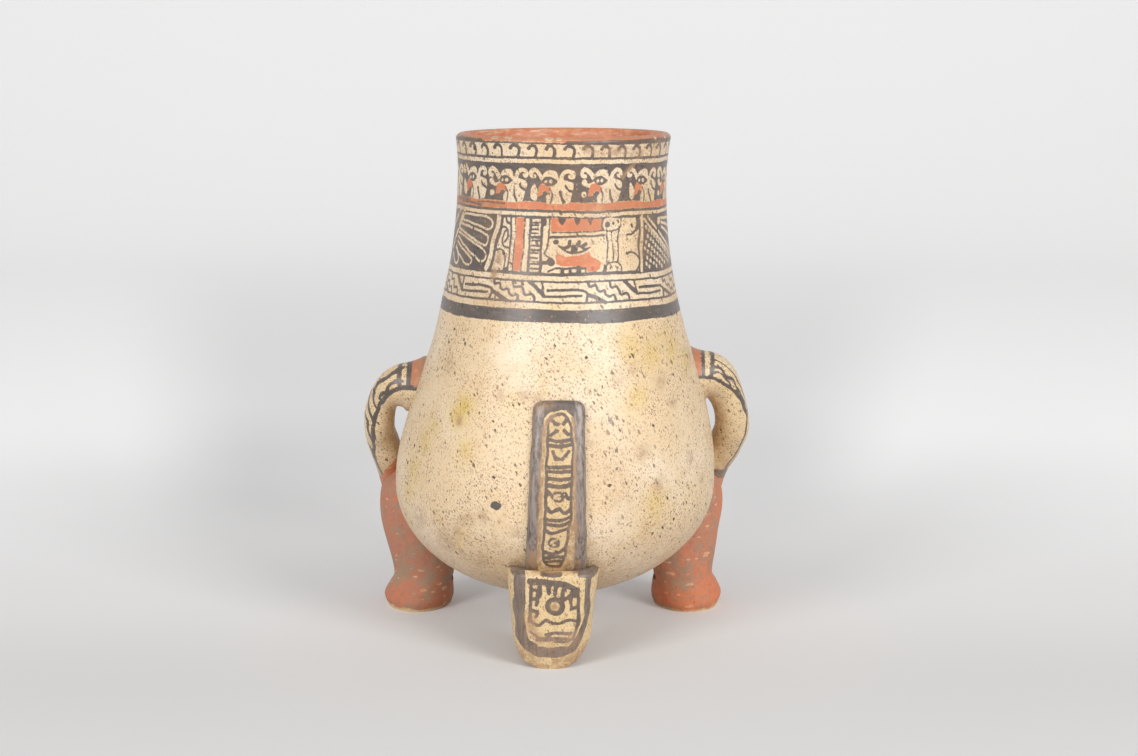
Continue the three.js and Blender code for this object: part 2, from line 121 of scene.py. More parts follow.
def span(node):          # lowest and highest level of a node, mm
    low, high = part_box(node)
    return low.z * 1000, high.z * 1000


# smooth curve through points, at shares 0 to 1; power 0 is the plain kind, 0.25 the one for uneven spacing
def throughPoints(points, shares, power=0.25):
    points = np.asarray(points, float)
    run = np.vstack([2 * points[0] - points[1], points, 2 * points[-1] - points[-2]])
    spot = np.clip(shares, 0, 1) * (len(points) - 1)
    k = np.minimum(spot.astype(int), len(points) - 2)
    t = (spot - k)[:, None]
    a, b, c, d = (run[k + i] for i in range(4))

    def gap(p, q):
        return np.maximum(((q - p) ** 2).sum(1), 1e-6)[:, None] ** power

    ab, bc, cd = gap(a, b), gap(b, c), gap(c, d)
    leave = ((b - a) / ab - (c - a) / (ab + bc) + (c - b) / bc) * bc
    enter = ((c - b) / bc - (d - b) / (bc + cd) + (d - c) / cd) * bc
    return b + leave * t + (3 * (c - b) - 2 * leave - enter) * t ** 2 + (2 * (b - c) + leave + enter) * t ** 3


def bezier(corners, steps=300):
    t = np.linspace(0, 1, steps)[:, None]
    layer = [np.array(corner, float)[None, :] for corner in corners]
    while len(layer) > 1:
        layer = [a * (1 - t) + b * t for a, b in zip(layer, layer[1:])]
    return layer[0]


def runOf(points):           # the way gone at each point of a line
    return np.concatenate([[0], np.cumsum(np.linalg.norm(np.diff(points, axis=0), axis=1))])


def unit(ways):              # directions, made one long
    return ways / np.maximum(np.linalg.norm(ways, axis=-1, keepdims=True), 1e-6)


def spaced(points, step):    # the same line with even steps
    run = runOf(points)
    stops = np.linspace(0, run[-1], max(2, round(run[-1] / step) + 1))
    return np.stack([np.interp(stops, run, column) for column in points.T], 1)


# slow hand-made waves over space, -1 to 1
def ripple(points, size, seed):
    rng = np.random.default_rng(seed)
    total = 0
    for wave in range(6):
        way = rng.normal(size=points.shape[-1])
        total = total + np.sin(points @ way / np.linalg.norm(way) * 2 * math.pi / size + rng.uniform(0, 6.3))
    return total / 3


# the jar's wall
jar = {
    "bellyRadius": 97, "bowlDepth": 68, "neckRadius": 62.2, "waistHeight": 275,
    "bellyFullness": 62, "neckFullness": 90, "lipRadius": 63.8, "wall": 6.4, "bowlFloor": 8,
    "columns": 560,
    "paintStep": 0.66,      # mm between rows where the fine painting is
    "plainStep": 1.5, "shoulderStep": 1.0, "innerStep": 6,
    "unevenness": 0.02,     # share of the radius
    "swellScale": 17.0,
    "leftEase": 2.2,        # mm that the left shoulder is flatter
    "easeFrom": (0.1, 0.145), "easeTo": (0.215, 0.17),      # m, where that begins and ends
}
bellyHeight = span("bowl")[1]
lipTop = span("rim_lip")[1]
lipSpring = lipTop - jar["wall"] / 2


def bowlLine(radius, depth):
    angle = np.linspace(-math.pi / 2, 0, 300)
    return np.stack([radius * np.cos(angle), bellyHeight + depth * np.sin(angle)], 1)


def wallLine():              # (radius, height) from the underside to the lip
    belly, neck, waist = jar["bellyRadius"], jar["neckRadius"], jar["waistHeight"]
    rise = [(belly, bellyHeight), (belly, bellyHeight + jar["bellyFullness"])]
    rise += [(neck, waist - jar["neckFullness"]), (neck, waist)]
    flare = [(neck, waist), (neck, (waist + lipSpring) / 2), (jar["lipRadius"], lipSpring)]
    return np.vstack([bowlLine(belly, jar["bowlDepth"]), bezier(rise)[1:], bezier(flare)[1:]])


jarLine = wallLine()


def wallRadius(height):
    return np.interp(height, jarLine[:, 1], jarLine[:, 0])


def outsideOf(node, step):
    low, high = span(node)
    inner = jarLine[(jarLine[:, 1] > low) & (jarLine[:, 1] < high)]
    ends = [(wallRadius(level), level) for level in (low, min(high, lipSpring))]
    return spaced(np.vstack([ends[:1], inner, ends[1:]]), step)


def wallProfile(node, step):     # closed line round a wall's section
    outside = outsideOf(node, step)
    inside = spaced(outside, jar["innerStep"])[::-1] - (jar["wall"], 0)
    return np.vstack([outside, inside, outside[:1]])


def bowlProfile(step):
    outside = spaced(bowlLine(jar["bellyRadius"], jar["bowlDepth"]), step)
    hollow = bowlLine(jar["bellyRadius"] - jar["wall"], jar["bowlDepth"] - jar["bowlFloor"])
    return np.vstack([outside, spaced(hollow, jar["innerStep"])[::-1]])


def lipProfile(step):            # the round of the lip closes the wall at the top
    outside = outsideOf("rim_lip", step)
    angle = np.linspace(0, math.pi, 18)[1:-1]
    half = jar["wall"] / 2
    crown = np.stack([jar["lipRadius"] - half + half * np.cos(angle), lipSpring + half * np.sin(angle)], 1)
    inside = outside[::-1] - (jar["wall"], 0)
    return np.vstack([outside, crown, inside, outside[:1]])


# Geometry Nodes
def newTree(name, inputs):
    tree = bpy.data.node_groups.new(name, "GeometryNodeTree")
    tree.interface.new_socket("Geometry", in_out="INPUT", socket_type="NodeSocketGeometry")
    for label, kind in inputs.items():
        tree.interface.new_socket(label, in_out="INPUT", socket_type="NodeSocket" + kind)
    tree.interface.new_socket("Geometry", in_out="OUTPUT", socket_type="NodeSocketGeometry")
    wire = Wire(tree)
    return wire, wire.node("NodeGroupInput")


def endTree(wire, geometry, finish):
    smooth = wire.node("GeometryNodeSetShadeSmooth", {}, {"Geometry": geometry, "Shade Smooth": True})
    whole = wire.node("GeometryNodeRealizeInstances", {}, {"Geometry": smooth})
    painted = wire.node("GeometryNodeSetMaterial", {}, {"Geometry": whole, "Material": finish})
    wire.node("NodeGroupOutput", {}, {"Geometry": painted})
    return wire.tree


# turns the object's own line of points, a profile with radius as X, about the leaning axis of the jar
def turnedWallTree():
    sizes = {"Columns": "Int", "Lean": "Float", "Lean Level": "Float", "Axis Y": "Float", "Unevenness": "Float"}
    wire, given = newTree("turnedWall", {**sizes, "Left Ease": "Float", "Finish": "Material"})
    profile = given["Geometry"]
    rows = wire.node("GeometryNodeAttributeDomainSize", {"component": "MESH"}, {0: profile}, "Point Count")
    counts = {"Vertices X": given["Columns"] + 1, "Vertices Y": rows}
    grid = wire.node("GeometryNodeMeshGrid", {}, counts, "Mesh")
    index = wire.node("GeometryNodeInputIndex")
    column = wire.math("FLOOR", (index + 0.5) / rows)
    angle = (column / given["Columns"] + 0.5) * (2 * math.pi)    # the seam is on the far side
    here = wire.node("GeometryNodeInputPosition")
    pick = {"Geometry": profile, "Value": here, "Index": index - column * rows}
    point = wire.node("GeometryNodeSampleIndex", {"data_type": "FLOAT_VECTOR", "domain": "POINT"}, pick)
    radius = point.axis("X")
    height = radius["Z"]
    sine = wire.math("SINE", angle)
    cosine = wire.math("COSINE", angle)
    upright = wire.node("ShaderNodeCombineXYZ", {}, {"X": radius * sine, "Y": radius * cosine, "Z": height})
    swell = wire.node("ShaderNodeTexNoise", {}, {"Vector": upright, "Scale": jar["swellScale"], "Detail": 1.0})
    leftward = wire.math("MAXIMUM", 0 - sine, 0.0)
    eased = leftward * leftward * height.between(*jar["easeFrom"]) * height.between(*jar["easeTo"])
    handMade = radius * (1 + (swell - 0.5) * given["Unevenness"]) - eased * given["Left Ease"]
    x = handMade * sine + given["Lean"] * (height - given["Lean Level"])
    y = given["Axis Y"] - handMade * cosine
    placed = wire.node("ShaderNodeCombineXYZ", {}, {"X": x, "Y": y, "Z": height})
    wall = wire.node("GeometryNodeSetPosition", {}, {"Geometry": grid, "Position": placed})
    closed = wire.node("GeometryNodeMergeByDistance", {}, {"Geometry": wall, "Distance": 1e-5})
    return endTree(wire, closed, given["Finish"])


# a rolled ball of clay at each of the object's own points
def clayPelletTree():
    wire, given = newTree("clayPellet", {"Radius": "Float", "Lumps": "Float", "Seed": "Float", "Finish": "Material"})
    ball = wire.node("GeometryNodeMeshIcoSphere", {}, {"Radius": given["Radius"], "Subdivisions": 4}, "Mesh")
    lump = {"W": given["Seed"], "Scale": pellets["lumpScale"], "Detail": 2.0}
    rough = wire.node("ShaderNodeTexNoise", {"noise_dimensions": "4D"}, lump)
    here = wire.node("GeometryNodeInputPosition")
    size = 1 - rough * given["Lumps"]
    pressed = wire.vector("SCALE", here, size)
    rolled = wire.node("GeometryNodeSetPosition", {}, {"Geometry": ball, "Position": pressed})
    laid = wire.node("GeometryNodeInstanceOnPoints", {}, {"Points": given["Geometry"], "Instance": rolled})
    return endTree(wire, laid, given["Finish"])


creaseAngle = math.radians(50)       # sharper edges stay edges


def newObject(name, points, edges=(), faces=()):
    mesh = bpy.data.meshes.new(name)
    mesh.from_pydata(np.asarray(points, float).tolist(), list(edges), list(faces))
    made = bpy.data.objects.new(name, mesh)
    scene.collection.objects.link(made)
    return made


# swaps an object's mesh for what its modifiers make of it
def bake(made):
    seen = made.evaluated_get(bpy.context.evaluated_depsgraph_get())
    mesh = bpy.data.meshes.new_from_object(seen)
    made.modifiers.clear()
    made.data = mesh
    return made


def grow(name, tree, points, values):
    made = newObject(name, points)
    modifier = made.modifiers.new(tree.name, "NODES")
    modifier.node_group = tree
    for item in tree.interface.items_tree:
        if item.in_out == "INPUT" and item.name in values:
            modifier[item.identifier] = values[item.name]
    bake(made)
    made.data.set_sharp_from_angle(angle=creaseAngle)
    return made


# skins a stack of loops (rows, columns, xyz in jar mm) and closes its ends
def skin(name, loops, finish):
    rows, columns = loops.shape[:2]
    points = np.vstack([loops.reshape(-1, 3), loops[:1].mean(1), loops[-1:].mean(1)])
    row, column = np.meshgrid(np.arange(rows - 1), np.arange(columns), indexing="ij")
    after = (column + 1) % columns
    quads = np.stack([row * columns + column, row * columns + after,
                      (row + 1) * columns + after, (row + 1) * columns + column], -1).reshape(-1, 4)
    first = np.arange(columns)
    second = (first + 1) % columns
    last = (rows - 1) * columns
    foot = np.stack([second, first, np.full(columns, rows * columns)], 1)
    top = np.stack([last + first, last + second, np.full(columns, rows * columns + 1)], 1)
    made = newObject(name, toPart(points), (), quads.tolist() + foot.tolist() + top.tolist())
    made.data.materials.append(finish)
    faceOut(made.data)
    return made


def faceOut(mesh):
    points = np.zeros(len(mesh.vertices) * 3)
    mesh.vertices.foreach_get("co", points)
    points = points.reshape(-1, 3)
    mesh.calc_loop_triangles()
    corners = np.zeros(len(mesh.loop_triangles) * 3, int)
    mesh.loop_triangles.foreach_get("vertices", corners)
    a, b, c = np.moveaxis(points[corners.reshape(-1, 3)], 1, 0)
    if (np.cross(a, b) * c).sum() < 0:
        mesh.flip_normals()
    mesh.shade_smooth()
    mesh.set_sharp_from_angle(angle=creaseAngle)


def places(made):            # an object's points in jar mm
    points = np.zeros(len(made.data.vertices) * 3)
    made.data.vertices.foreach_get("co", points)
    return toJar(points.reshape(-1, 3))


def carve(made, *cutters):
    for cutter in cutters:
        cut = made.modifiers.new("carve", "BOOLEAN")
        cut.object = cutter
        cut.solver = "EXACT"
    bake(made)
    for cutter in cutters:
        bpy.data.objects.remove(cutter)
    faceOut(made.data)
    return made


def keep(made, slot, *nodes, body="pot"):
    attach(made, body)
    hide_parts(*nodes)
    print("made", made.name, len(made.data.polygons), "faces")


# a superellipse loop about centre; squareness 2 is an ellipse
def loop(centre, u, v, halfU, halfV, columns, squareness=2):
    angle = np.linspace(0, 2 * math.pi, columns, endpoint=False)
    c = np.sign(np.cos(angle)) * np.abs(np.cos(angle)) ** (2 / squareness)
    s = np.sign(np.sin(angle)) * np.abs(np.sin(angle)) ** (2 / squareness)
    return np.asarray(centre) + halfU * c[:, None] * np.asarray(u) + halfV * s[:, None] * np.asarray(v)


# loops along a row of rings (x, y, z and the two half sizes), at shares of its way; u and v may change on the way
def ringLoops(rings, shares, u, v, columns, thicker=0.0, squareness=2):
    centres = throughPoints(rings[:, :3], shares)
    halves = throughPoints(rings[:, 3:], shares, 0) + thicker
    each = zip(centres, np.broadcast_to(u, centres.shape), np.broadcast_to(v, centres.shape), halves)
    return np.stack([loop(centre, a, b, *half, columns, squareness) for centre, a, b, half in each])


# height of points over the jar's wall, and the wall's outward direction there
def overJar(points):
    x, y, z = np.moveaxis(points, -1, 0)
    flat = np.maximum(np.hypot(x, y), 1e-3)
    slope = wallRadius(z + 0.5) - wallRadius(z - 0.5)
    length = np.sqrt(1 + slope ** 2)
    outward = np.stack([x / flat, y / flat, -slope], -1) / length[..., None]
    return (flat - wallRadius(z)) / length, outward


# spreads the foot of a piece where it was luted on, and keeps its hidden end inside the jar's wall
def lute(loops, reach, flare, sink=2.5):
    height, outward = overJar(loops)
    away = loops - loops.mean(1, keepdims=True)
    away = unit(away - outward * (away * outward).sum(-1, keepdims=True))
    share = np.clip(1 - height / reach, 0, 1)
    loops = loops + away * (flare * share ** 2)[..., None]
    height, outward = overJar(loops)
    return loops - outward * np.minimum(height + sink, 0)[..., None]


# Painting: each canvas holds, for every point of a piece, how far it lies inside the painted areas (mm)
class Canvas:
    margin = 2.5         # mm round a mark where the distance to it is still kept

    def __init__(self, across, up, turn=None):
        self.across = across
        self.up = up
        self.turn = turn             # full way round in mm, where the canvas closes on itself
        self.dark = np.full(len(across), -9.0)
        self.orange = np.full(len(across), -9.0)
        self.wearAndLight = np.zeros(len(across))
        self.stainAndShade = np.zeros(len(across))
        self.yellow = np.zeros(len(across))
        self.move(0, 0)

    def move(self, x, y, unit=1.0):      # where the next marks are drawn from, and the mm of one unit across
        self.home = np.array([x, y], float)
        self.unit = np.array([unit, 1.0])

    def near(self, points, margin):
        points = points + self.home
        middle = (points.min(0) + points.max(0)) / 2
        x = self.across - middle[0]
        if self.turn:
            x = (x + self.turn / 2) % self.turn - self.turn / 2
        y = self.up - middle[1]
        half = np.abs(points - middle).max(0) + margin
        picked = np.nonzero((np.abs(x) < half[0]) & (np.abs(y) < half[1]))[0]
        return picked, np.stack([x[picked], y[picked]], 1), points - middle

    def lay(self, picked, inside, slip):
        if slip == "orange":
            self.orange[picked] = np.maximum(self.orange[picked], inside)
        elif slip == "bare":
            self.orange[picked] = np.minimum(self.orange[picked], -inside)
        if slip == "dark":
            self.dark[picked] = np.maximum(self.dark[picked], inside)
        else:
            self.dark[picked] = np.minimum(self.dark[picked], -inside)

    def line(self, points, width, slip="dark", curved=True):
        points = np.multiply(points, self.unit)
        if curved and len(points) > 2:
            points = throughPoints(points, np.linspace(0, 1, 6 * len(points)))
        picked, spots, points = self.near(points, width / 2 + self.margin)
        if len(picked):
            self.lay(picked, width / 2 - toSegments(spots, points[:-1], points[1:]), slip)

    def shape(self, points, slip="dark", curved=False):
        points = np.multiply(points, self.unit)
        if curved:
            ring = np.vstack([points[-2:], points, points[:3]])
            stops = np.linspace(2, len(points) + 2, 6 * len(points) + 1)
            points = throughPoints(ring, stops / (len(ring) - 1))[:-1]
        picked, spots, points = self.near(points, self.margin)
        if len(picked):
            after = np.roll(points, -1, axis=0)
            edge = toSegments(spots, points, after)
            x, y = spots[:, :1], spots[:, 1:]
            rise = np.where(after[:, 1] == points[:, 1], 1e-9, after[:, 1] - points[:, 1])
            crossed = (points[:, 1] > y) != (after[:, 1] > y)
            passed = crossed & (x < points[:, 0] + (y - points[:, 1]) * (after[:, 0] - points[:, 0]) / rise)
            self.lay(picked, np.where(passed.sum(1) % 2 == 1, edge, -edge), slip)

    def spot(self, x, y, halfX, halfY, slip="dark"):
        picked, spots, _ = self.near(np.multiply([(x, y)], self.unit), max(halfX, halfY) + self.margin)
        share = np.hypot(spots[:, 0] / halfX, spots[:, 1] / halfY)
        self.lay(picked, (1 - share) * min(halfX, halfY), slip)

    def band(self, low, high, slip="dark"):
        every = np.arange(len(self.up))
        self.lay(every, np.minimum(self.up - low, high - self.up), slip)

    def wash(self, layer, points, width, amount):     # soft-edged rubbing or dirt
        picked, spots, points = self.near(np.multiply(points, self.unit), width * 2)
        if len(picked):
            if len(points) == 1:
                points = np.vstack([points, points])
            away = toSegments(spots, points[:-1], points[1:])
            values = getattr(self, layer)
            values[picked] = np.maximum(values[picked], amount * np.exp(-(away / width) ** 2))

    def store(self, mesh):
        for name in ("dark", "orange", "wearAndLight", "stainAndShade", "yellow"):
            values = np.clip(getattr(self, name), -9, 9).astype(np.float32)
            mesh.attributes.new(name + "Paint", "FLOAT", "POINT").data.foreach_set("value", values)


def toSegments(spots, starts, ends):
    way = ends - starts
    length = np.maximum((way ** 2).sum(1), 1e-9)
    best = np.full(len(spots), 1e9)
    for start, along, square in zip(starts, way, length):
        rest = spots - start
        share = np.clip(rest @ along / square, 0, 1)
        best = np.minimum(best, ((rest - share[:, None] * along) ** 2).sum(1))
    return np.sqrt(best)


# the neck's painting, in degrees round from the tail (right is more) and mm of height; hooks and heads in mm from
# their own places
neckPaint = {
    "mmPerDegree": 1.134,
    "slope": 0.011,              # the rings drop a little to the right
    "wobble": 0.5,               # mm, the brush's unsteady line
    "darkRings": [(296.9, 298.1), (288.3, 289.8), (264.2, 286.0), (258.2, 259.8), (254.7, 256.2),
                  (222.7, 224.6), (218.8, 220.0), (207.0, 208.3), (196.3, 203.7)],
    "orangeRing": (259.8, 264.1),
    "hooks": 37, "firstHook": -63.0, "hookFoot": 289.2,
    "eyes": [-57, -31.5, -6.5, 20.5, 48, 74, 99, 125, 151, 176, 202, 228, 253, 278],
    "eyeHeight": 276.5, "eyeDrop": 0.4,
    "turns": (0, 180),           # the panels come twice round the neck
    "units": 8, "firstUnit": -56.2, "unitTurn": 48.0,
    "seenUnits": 4, "hiddenShare": 0.9,      # the stepped units on the far side are narrower
    "lip": (298.2, 310),
    "chips": [(-38.4, 2.6), (-30, 2.2), (-7, 3), (-2, 1.6), (57, 1.4), (70, 2), (80, 2.2), (150, 3), (-120, 2)],
    "foot": 180,                 # nothing of it is lower
}


def paintHooks(canvas):
    for k in range(neckPaint["hooks"]):
        turn = neckPaint["firstHook"] + 360 * k / neckPaint["hooks"]
        canvas.move(turn * neckPaint["mmPerDegree"], neckPaint["hookFoot"])
        canvas.line([(0, 0), (0.5, 2.6), (0.2, 5.2), (-1.6, 6.7), (-3.6, 6.6), (-4.8, 5.4)], 1.8)
        canvas.spot(-4.6, 5.3, 1.3, 1.1)


# a crested beast's head in side view; every other one has a flame in place of its snout
def paintHead(canvas, k):
    body = [(-4.8, 0.2), (-3.8, 3.4), (-2, 5.4), (1, 6.4), (3.8, 5.9), (5, 4), (5.3, 2.2), (7, 1.6), (10.5, 0.6),
            (14.2, -1), (14.2, -4.8), (13.2, -8.4), (12, -11.6), (-2.6, -11.6), (-1, -7.8), (0.6, -5.6), (-1, -3.4),
            (-4, -2.6)]
    canvas.shape(body, "bare", curved=True)
    canvas.line([(-4.2, 0.8), (-5.5, 3.2), (-7.5, 5.6), (-9.8, 6.4), (-11.5, 4.8), (-11.2, 2.8), (-9.6, 2.6)], 2.4,
                "bare")
    canvas.line([(7, 1), (8, 4.2), (10.8, 6.0), (13.6, 4.9), (13.6, 2.8), (11.8, 2.6)], 2.4, "bare")
    if k % 2:
        canvas.line([(-4, -1.8), (-7.4, -2.7), (-9.8, -1.7)], 2.0, "bare")
        canvas.spot(-10.2, -1.1, 1.9, 1.8, "bare")
        canvas.spot(-10.2, -7.6, 1.9, 1.7, "bare")
    else:
        canvas.shape([(-9.6, -1.4), (-11, -5.6), (-10.4, -10.2), (-7.8, -10.8), (-7.2, -5.8)], "bare", curved=True)
    canvas.shape([(-5.2, -1.8), (-0.8, -2.4), (0.9, -4.2), (-0.4, -6.6), (-2.8, -5.4), (-4.2, -7.8), (-7, -8.4),
                  (-6.8, -5.2)], "orange", curved=True)
    canvas.shape([(-4.6, -12), (-2.7, -5.8), (-1.2, -12)])
    canvas.line([(0.2, -4.2), (1.6, -7.4), (1.2, -12)], 1.1)
    canvas.line([(9.8, -2.2), (11, -4.2), (14.4, -5.8)], 1.4)
    canvas.line([(6.3, -5.6), (6.9, -8.4), (8.3, -12)], 1.5)
    canvas.line([(10.2, 3.1), (11, 1.5), (13.4, 0.6), (15.6, 1)], 1.4)
    canvas.shape([(-4.8, 0), (-2.3, 2.3), (1, 2.7), (3.4, 1.5), (5, 0.1), (2.6, -2), (-0.6, -2.6), (-3.2, -1.7)],
                 curved=True)
    canvas.spot(-2.0, -0.1, 0.85, 0.95, "bare")
    canvas.spot(1.0, 0.1, 1.05, 1.15, "bare")


def paintHeads(canvas):
    for k, turn in enumerate(neckPaint["eyes"]):
        canvas.move(turn * neckPaint["mmPerDegree"], neckPaint["eyeHeight"] - neckPaint["eyeDrop"] * (k % 3))
        paintHead(canvas, k)


def paintFeathers(canvas):
    canvas.shape([(-92, 256), (-34, 256), (-40.2, 224), (-92, 224)])
    fan = [
        [(-65.2, 254.4), (-50.8, 254.6), (-43, 254.4), (-39.9, 252.9), (-38.8, 250.7), (-39.9, 248), (-42, 247.2),
         (-50.8, 249.1), (-65.2, 250.9)],
        [(-68.7, 248.7), (-56.7, 247.3), (-43.5, 244.6), (-41, 243.2), (-40.2, 240.6), (-41.7, 238), (-45, 238.4),
         (-54.7, 241.6), (-69.5, 245.6)],
        [(-70.3, 243.4), (-60.6, 241.2), (-50.8, 238.3), (-44, 235.3), (-41.7, 233), (-41.7, 230.2), (-44.2, 228.4),
         (-50.8, 231.3), (-60.6, 236.2), (-70.3, 240.9)],
        [(-71.1, 238), (-60.6, 233.5), (-55, 231), (-52.2, 228.7), (-52.6, 226.6), (-55, 225.9), (-59, 226.6),
         (-66.4, 231), (-73, 235.2)],
        [(-74.2, 235), (-69.5, 232.2), (-66.2, 228), (-67.2, 225.4), (-70.6, 225.6), (-74, 228.2), (-78, 231)],
    ]
    for feather in fan:
        canvas.line(feather, 1.3, "bare")
    canvas.line([(-64.8, 255.4), (-70.3, 247.1), (-80, 234)], 2.4, "bare")
    canvas.line([(-70, 255.4), (-88, 243)], 2.0, "bare")


def paintSerpent(canvas):
    canvas.line([(-34.3, 255), (-39.9, 224.4)], 2.3, "bare")
    canvas.line([(-32.2, 255), (-37.5, 224.6)], 1.9)
    canvas.line([(-32.3, 249.4), (-29.9, 248.9), (-28.9, 246.3), (-28.8, 243.2), (-30, 240.8)], 1.2)
    canvas.line([(-30.3, 247.1), (-31.4, 244.5), (-31.6, 240.5), (-30.2, 238.4), (-27.3, 237.4)], 1.2)
    canvas.line([(-29.9, 254.6), (-29.3, 252.2), (-27.4, 250.9)], 1.5)
    canvas.line([(-35.2, 236.1), (-31.4, 236.2), (-30, 234.3), (-29.5, 229.5), (-29.6, 225)], 1.2)
    canvas.spot(-28.4, 225, 1.6, 1.2)
    canvas.line([(-27, 255.6), (-27, 224)], 1.3)


def paintLadder(canvas):
    canvas.shape([(-23.9, 255), (-19.5, 255), (-19.5, 224.8), (-23.9, 224.8)], "orange")
    for edge in (-24.3, -19.2):
        canvas.line([(edge, 255.6), (edge, 224)], 0.9)
    canvas.shape([(-16.7, 256), (-9.4, 256), (-9.2, 224), (-16.5, 224)])
    canvas.shape([(-15.2, 254.4), (-10.9, 254.4), (-10.9, 252.9), (-15.2, 252.9)], "bare")
    rungs = [(245.0, 252.0, 3, 0.0), (237.8, 243.4, 2, 1.2), (231.0, 236.6, 2, 0.0), (225.0, 230.2, 2, 1.0)]
    for low, high, count, inset in rungs:
        canvas.shape([(-15.3, high), (-10.8, high), (-10.8, low), (-15.3, low)], "bare")
        for k in range(count):
            level = low + (high - low) * (k + 0.6) / count
            canvas.line([(-15.6 + inset, level), (-12.0 + inset, level)], 1.15)


# a stylised creature's face seen from the side, behind its bone ornament
def paintFace(canvas):
    canvas.line([(-6.2, 256), (-6.4, 249), (-6.4, 244), (-6.6, 238.4), (-8.1, 235.2), (-6.8, 233.7),
                 (-4.6, 232.4)], 1.0, curved=False)
    canvas.line([(-4.6, 230.6), (-9.4, 229.9)], 2.2)
    canvas.spot(-4.9, 230.7, 2.5, 2.2)
    canvas.spot(-9.1, 253, 1.7, 2.6)
    canvas.shape([(-5.6, 255.2), (21.6, 255.2), (21.6, 248.6), (6, 247.9), (-5.6, 247.1)], "orange")
    for middle, half, drop in ((0.3, 2.0, 5.0), (8.2, 1.9, 4.8), (14.9, 1.5, 4.4)):
        tongue = [(middle - half, 256), (middle - half * 0.6, 256 - drop * 0.6), (middle, 256 - drop),
                  (middle + half * 0.6, 256 - drop * 0.6), (middle + half, 256)]
        canvas.shape(tongue)
    canvas.line([(-6.2, 246.8), (6.2, 247.5), (23.1, 248.6)], 0.9)
    canvas.line([(-6, 244.4), (6.2, 245.1), (22.6, 245.8)], 1.4)
    almond = [(-1.8, 241.3), (-0.3, 239.8), (1.9, 239.5), (3.6, 240.2), (10.3, 240.2), (12, 238.8), (15.4, 239.3),
              (13.1, 237.1), (10.5, 235.8), (7.1, 235.1), (3.6, 235.9), (1.2, 237.2), (-1, 239.3)]
    canvas.shape(almond)
    canvas.spot(-2.4, 241.8, 1.7, 1.4)
    for lash in ([(4.2, 242.3), (4.2, 239.6)], [(9.1, 242), (7.7, 239.4)], [(12.6, 241), (10.2, 239.4)]):
        canvas.line(lash, 2.0)
    canvas.shape([(2.6, 237.4), (5.5, 239.1), (5.5, 236.6)], "bare")
    canvas.shape([(8.4, 239.2), (11, 237.4), (8.4, 236.6)], "bare")
    cheek = [(-2.5, 234.4), (-0.7, 235.3), (1.4, 234.2), (2.7, 233.4), (6.2, 234.2), (9.2, 234.1), (12.3, 235.5),
             (14.4, 236.6), (15, 234.2), (18.3, 232.2), (20.9, 230.2), (20.5, 226.3), (18.3, 224.6), (13.4, 224.8),
             (12.7, 227.5), (6.2, 228.2), (0.1, 228.4), (-2, 229.7)]
    canvas.shape(cheek, "orange")
    canvas.line([(-6, 225.6), (-2.5, 227.2), (1.9, 227), (12.6, 227)], 1.2)
    for tooth, width in ((1, 1.8), (4.7, 1.9), (9.1, 2.6), (12.6, 1.0)):
        canvas.line([(tooth, 227), (tooth, 224.4)], width)


def paintBone(canvas):
    for top, foot in ((24.2, 24.2), (27.3, 27.4), (31.7, 30.1)):
        canvas.line([(top, 248.8), (foot, 229.6)], 0.95)
    knob = [(21.9, 254.6), (31.5, 254.8), (32.2, 252), (30.8, 249), (23.4, 248.7), (21.7, 250.6)]
    canvas.shape(knob, "bare", curved=True)
    canvas.line([(32.9, 255.6), (32.6, 251.5), (31, 248.8), (23.4, 248.5), (21.5, 250.4), (21.6, 255)], 0.9)
    canvas.spot(24.5, 251.9, 1.9, 1.7)
    canvas.spot(28.2, 252.4, 0.9, 0.9)
    canvas.line([(23.4, 224), (24, 228), (26.1, 229.7), (30, 229.7), (32, 227.8), (32.5, 224)], 1.0)
    canvas.line([(23.2, 227.6), (22.4, 224)], 1.8)
    for mark in (26.2, 29.7):
        canvas.line([(mark - 0.8, 227.4), (mark, 226.4), (mark + 0.8, 227.4)], 0.7, curved=False)
        canvas.line([(mark, 226.6), (mark, 225.5)], 0.7)


def paintCommas(canvas):
    canvas.shape([(43.2, 255.6), (46.4, 255.6), (45.6, 247), (44, 247.4), (42.4, 246.2), (39.8, 244.5), (36.4, 245),
                  (36.4, 245.8), (39.8, 246), (42, 247.8), (43.4, 250.8)])
    canvas.line([(35.6, 234.7), (38.5, 235.3), (41.6, 234.1), (43.8, 231.8), (44, 227.8), (41.4, 224.2)], 1.3)
    canvas.spot(35.9, 234.7, 1.2, 1.0)
    canvas.line([(45.8, 255.4), (44.2, 224)], 1.9)


def paintNet(canvas):
    canvas.shape([(49, 256), (92, 256), (92, 224), (46.4, 224)])
    canvas.line([(48.4, 254.6), (45.5, 224.4)], 2.1, "bare")
    for k in range(15):
        for j in range(10):
            x = 50.9 + 2.45 * k - 1.3 * j
            y = 248.6 - 1.85 * k - 3.4 * j
            leftEdge = 48.0 + (y - 224) * 0.09
            if leftEdge < x < 80 and 225.4 < y < 251.6 - (x - 50) * 0.8:
                cell = [(x - 0.85, y + 1.5), (x + 0.8, y + 0.9), (x + 0.85, y - 1.4), (x - 0.8, y - 0.8)]
                canvas.shape(cell, "bare")
    canvas.line([(50, 253.2), (59.7, 244.4), (82, 228.6)], 1.6, "bare")
    canvas.line([(53.3, 254.4), (61.9, 246.6), (84, 231)], 1.6, "bare")
    canvas.spot(64.5, 251.6, 2.0, 2.4, "bare")
    for foot, tip in (((67, 253), (90, 251)), ((67.4, 250.4), (90, 245)), ((67.6, 247.6), (88, 239))):
        canvas.line([foot, tip], 1.7, "bare")


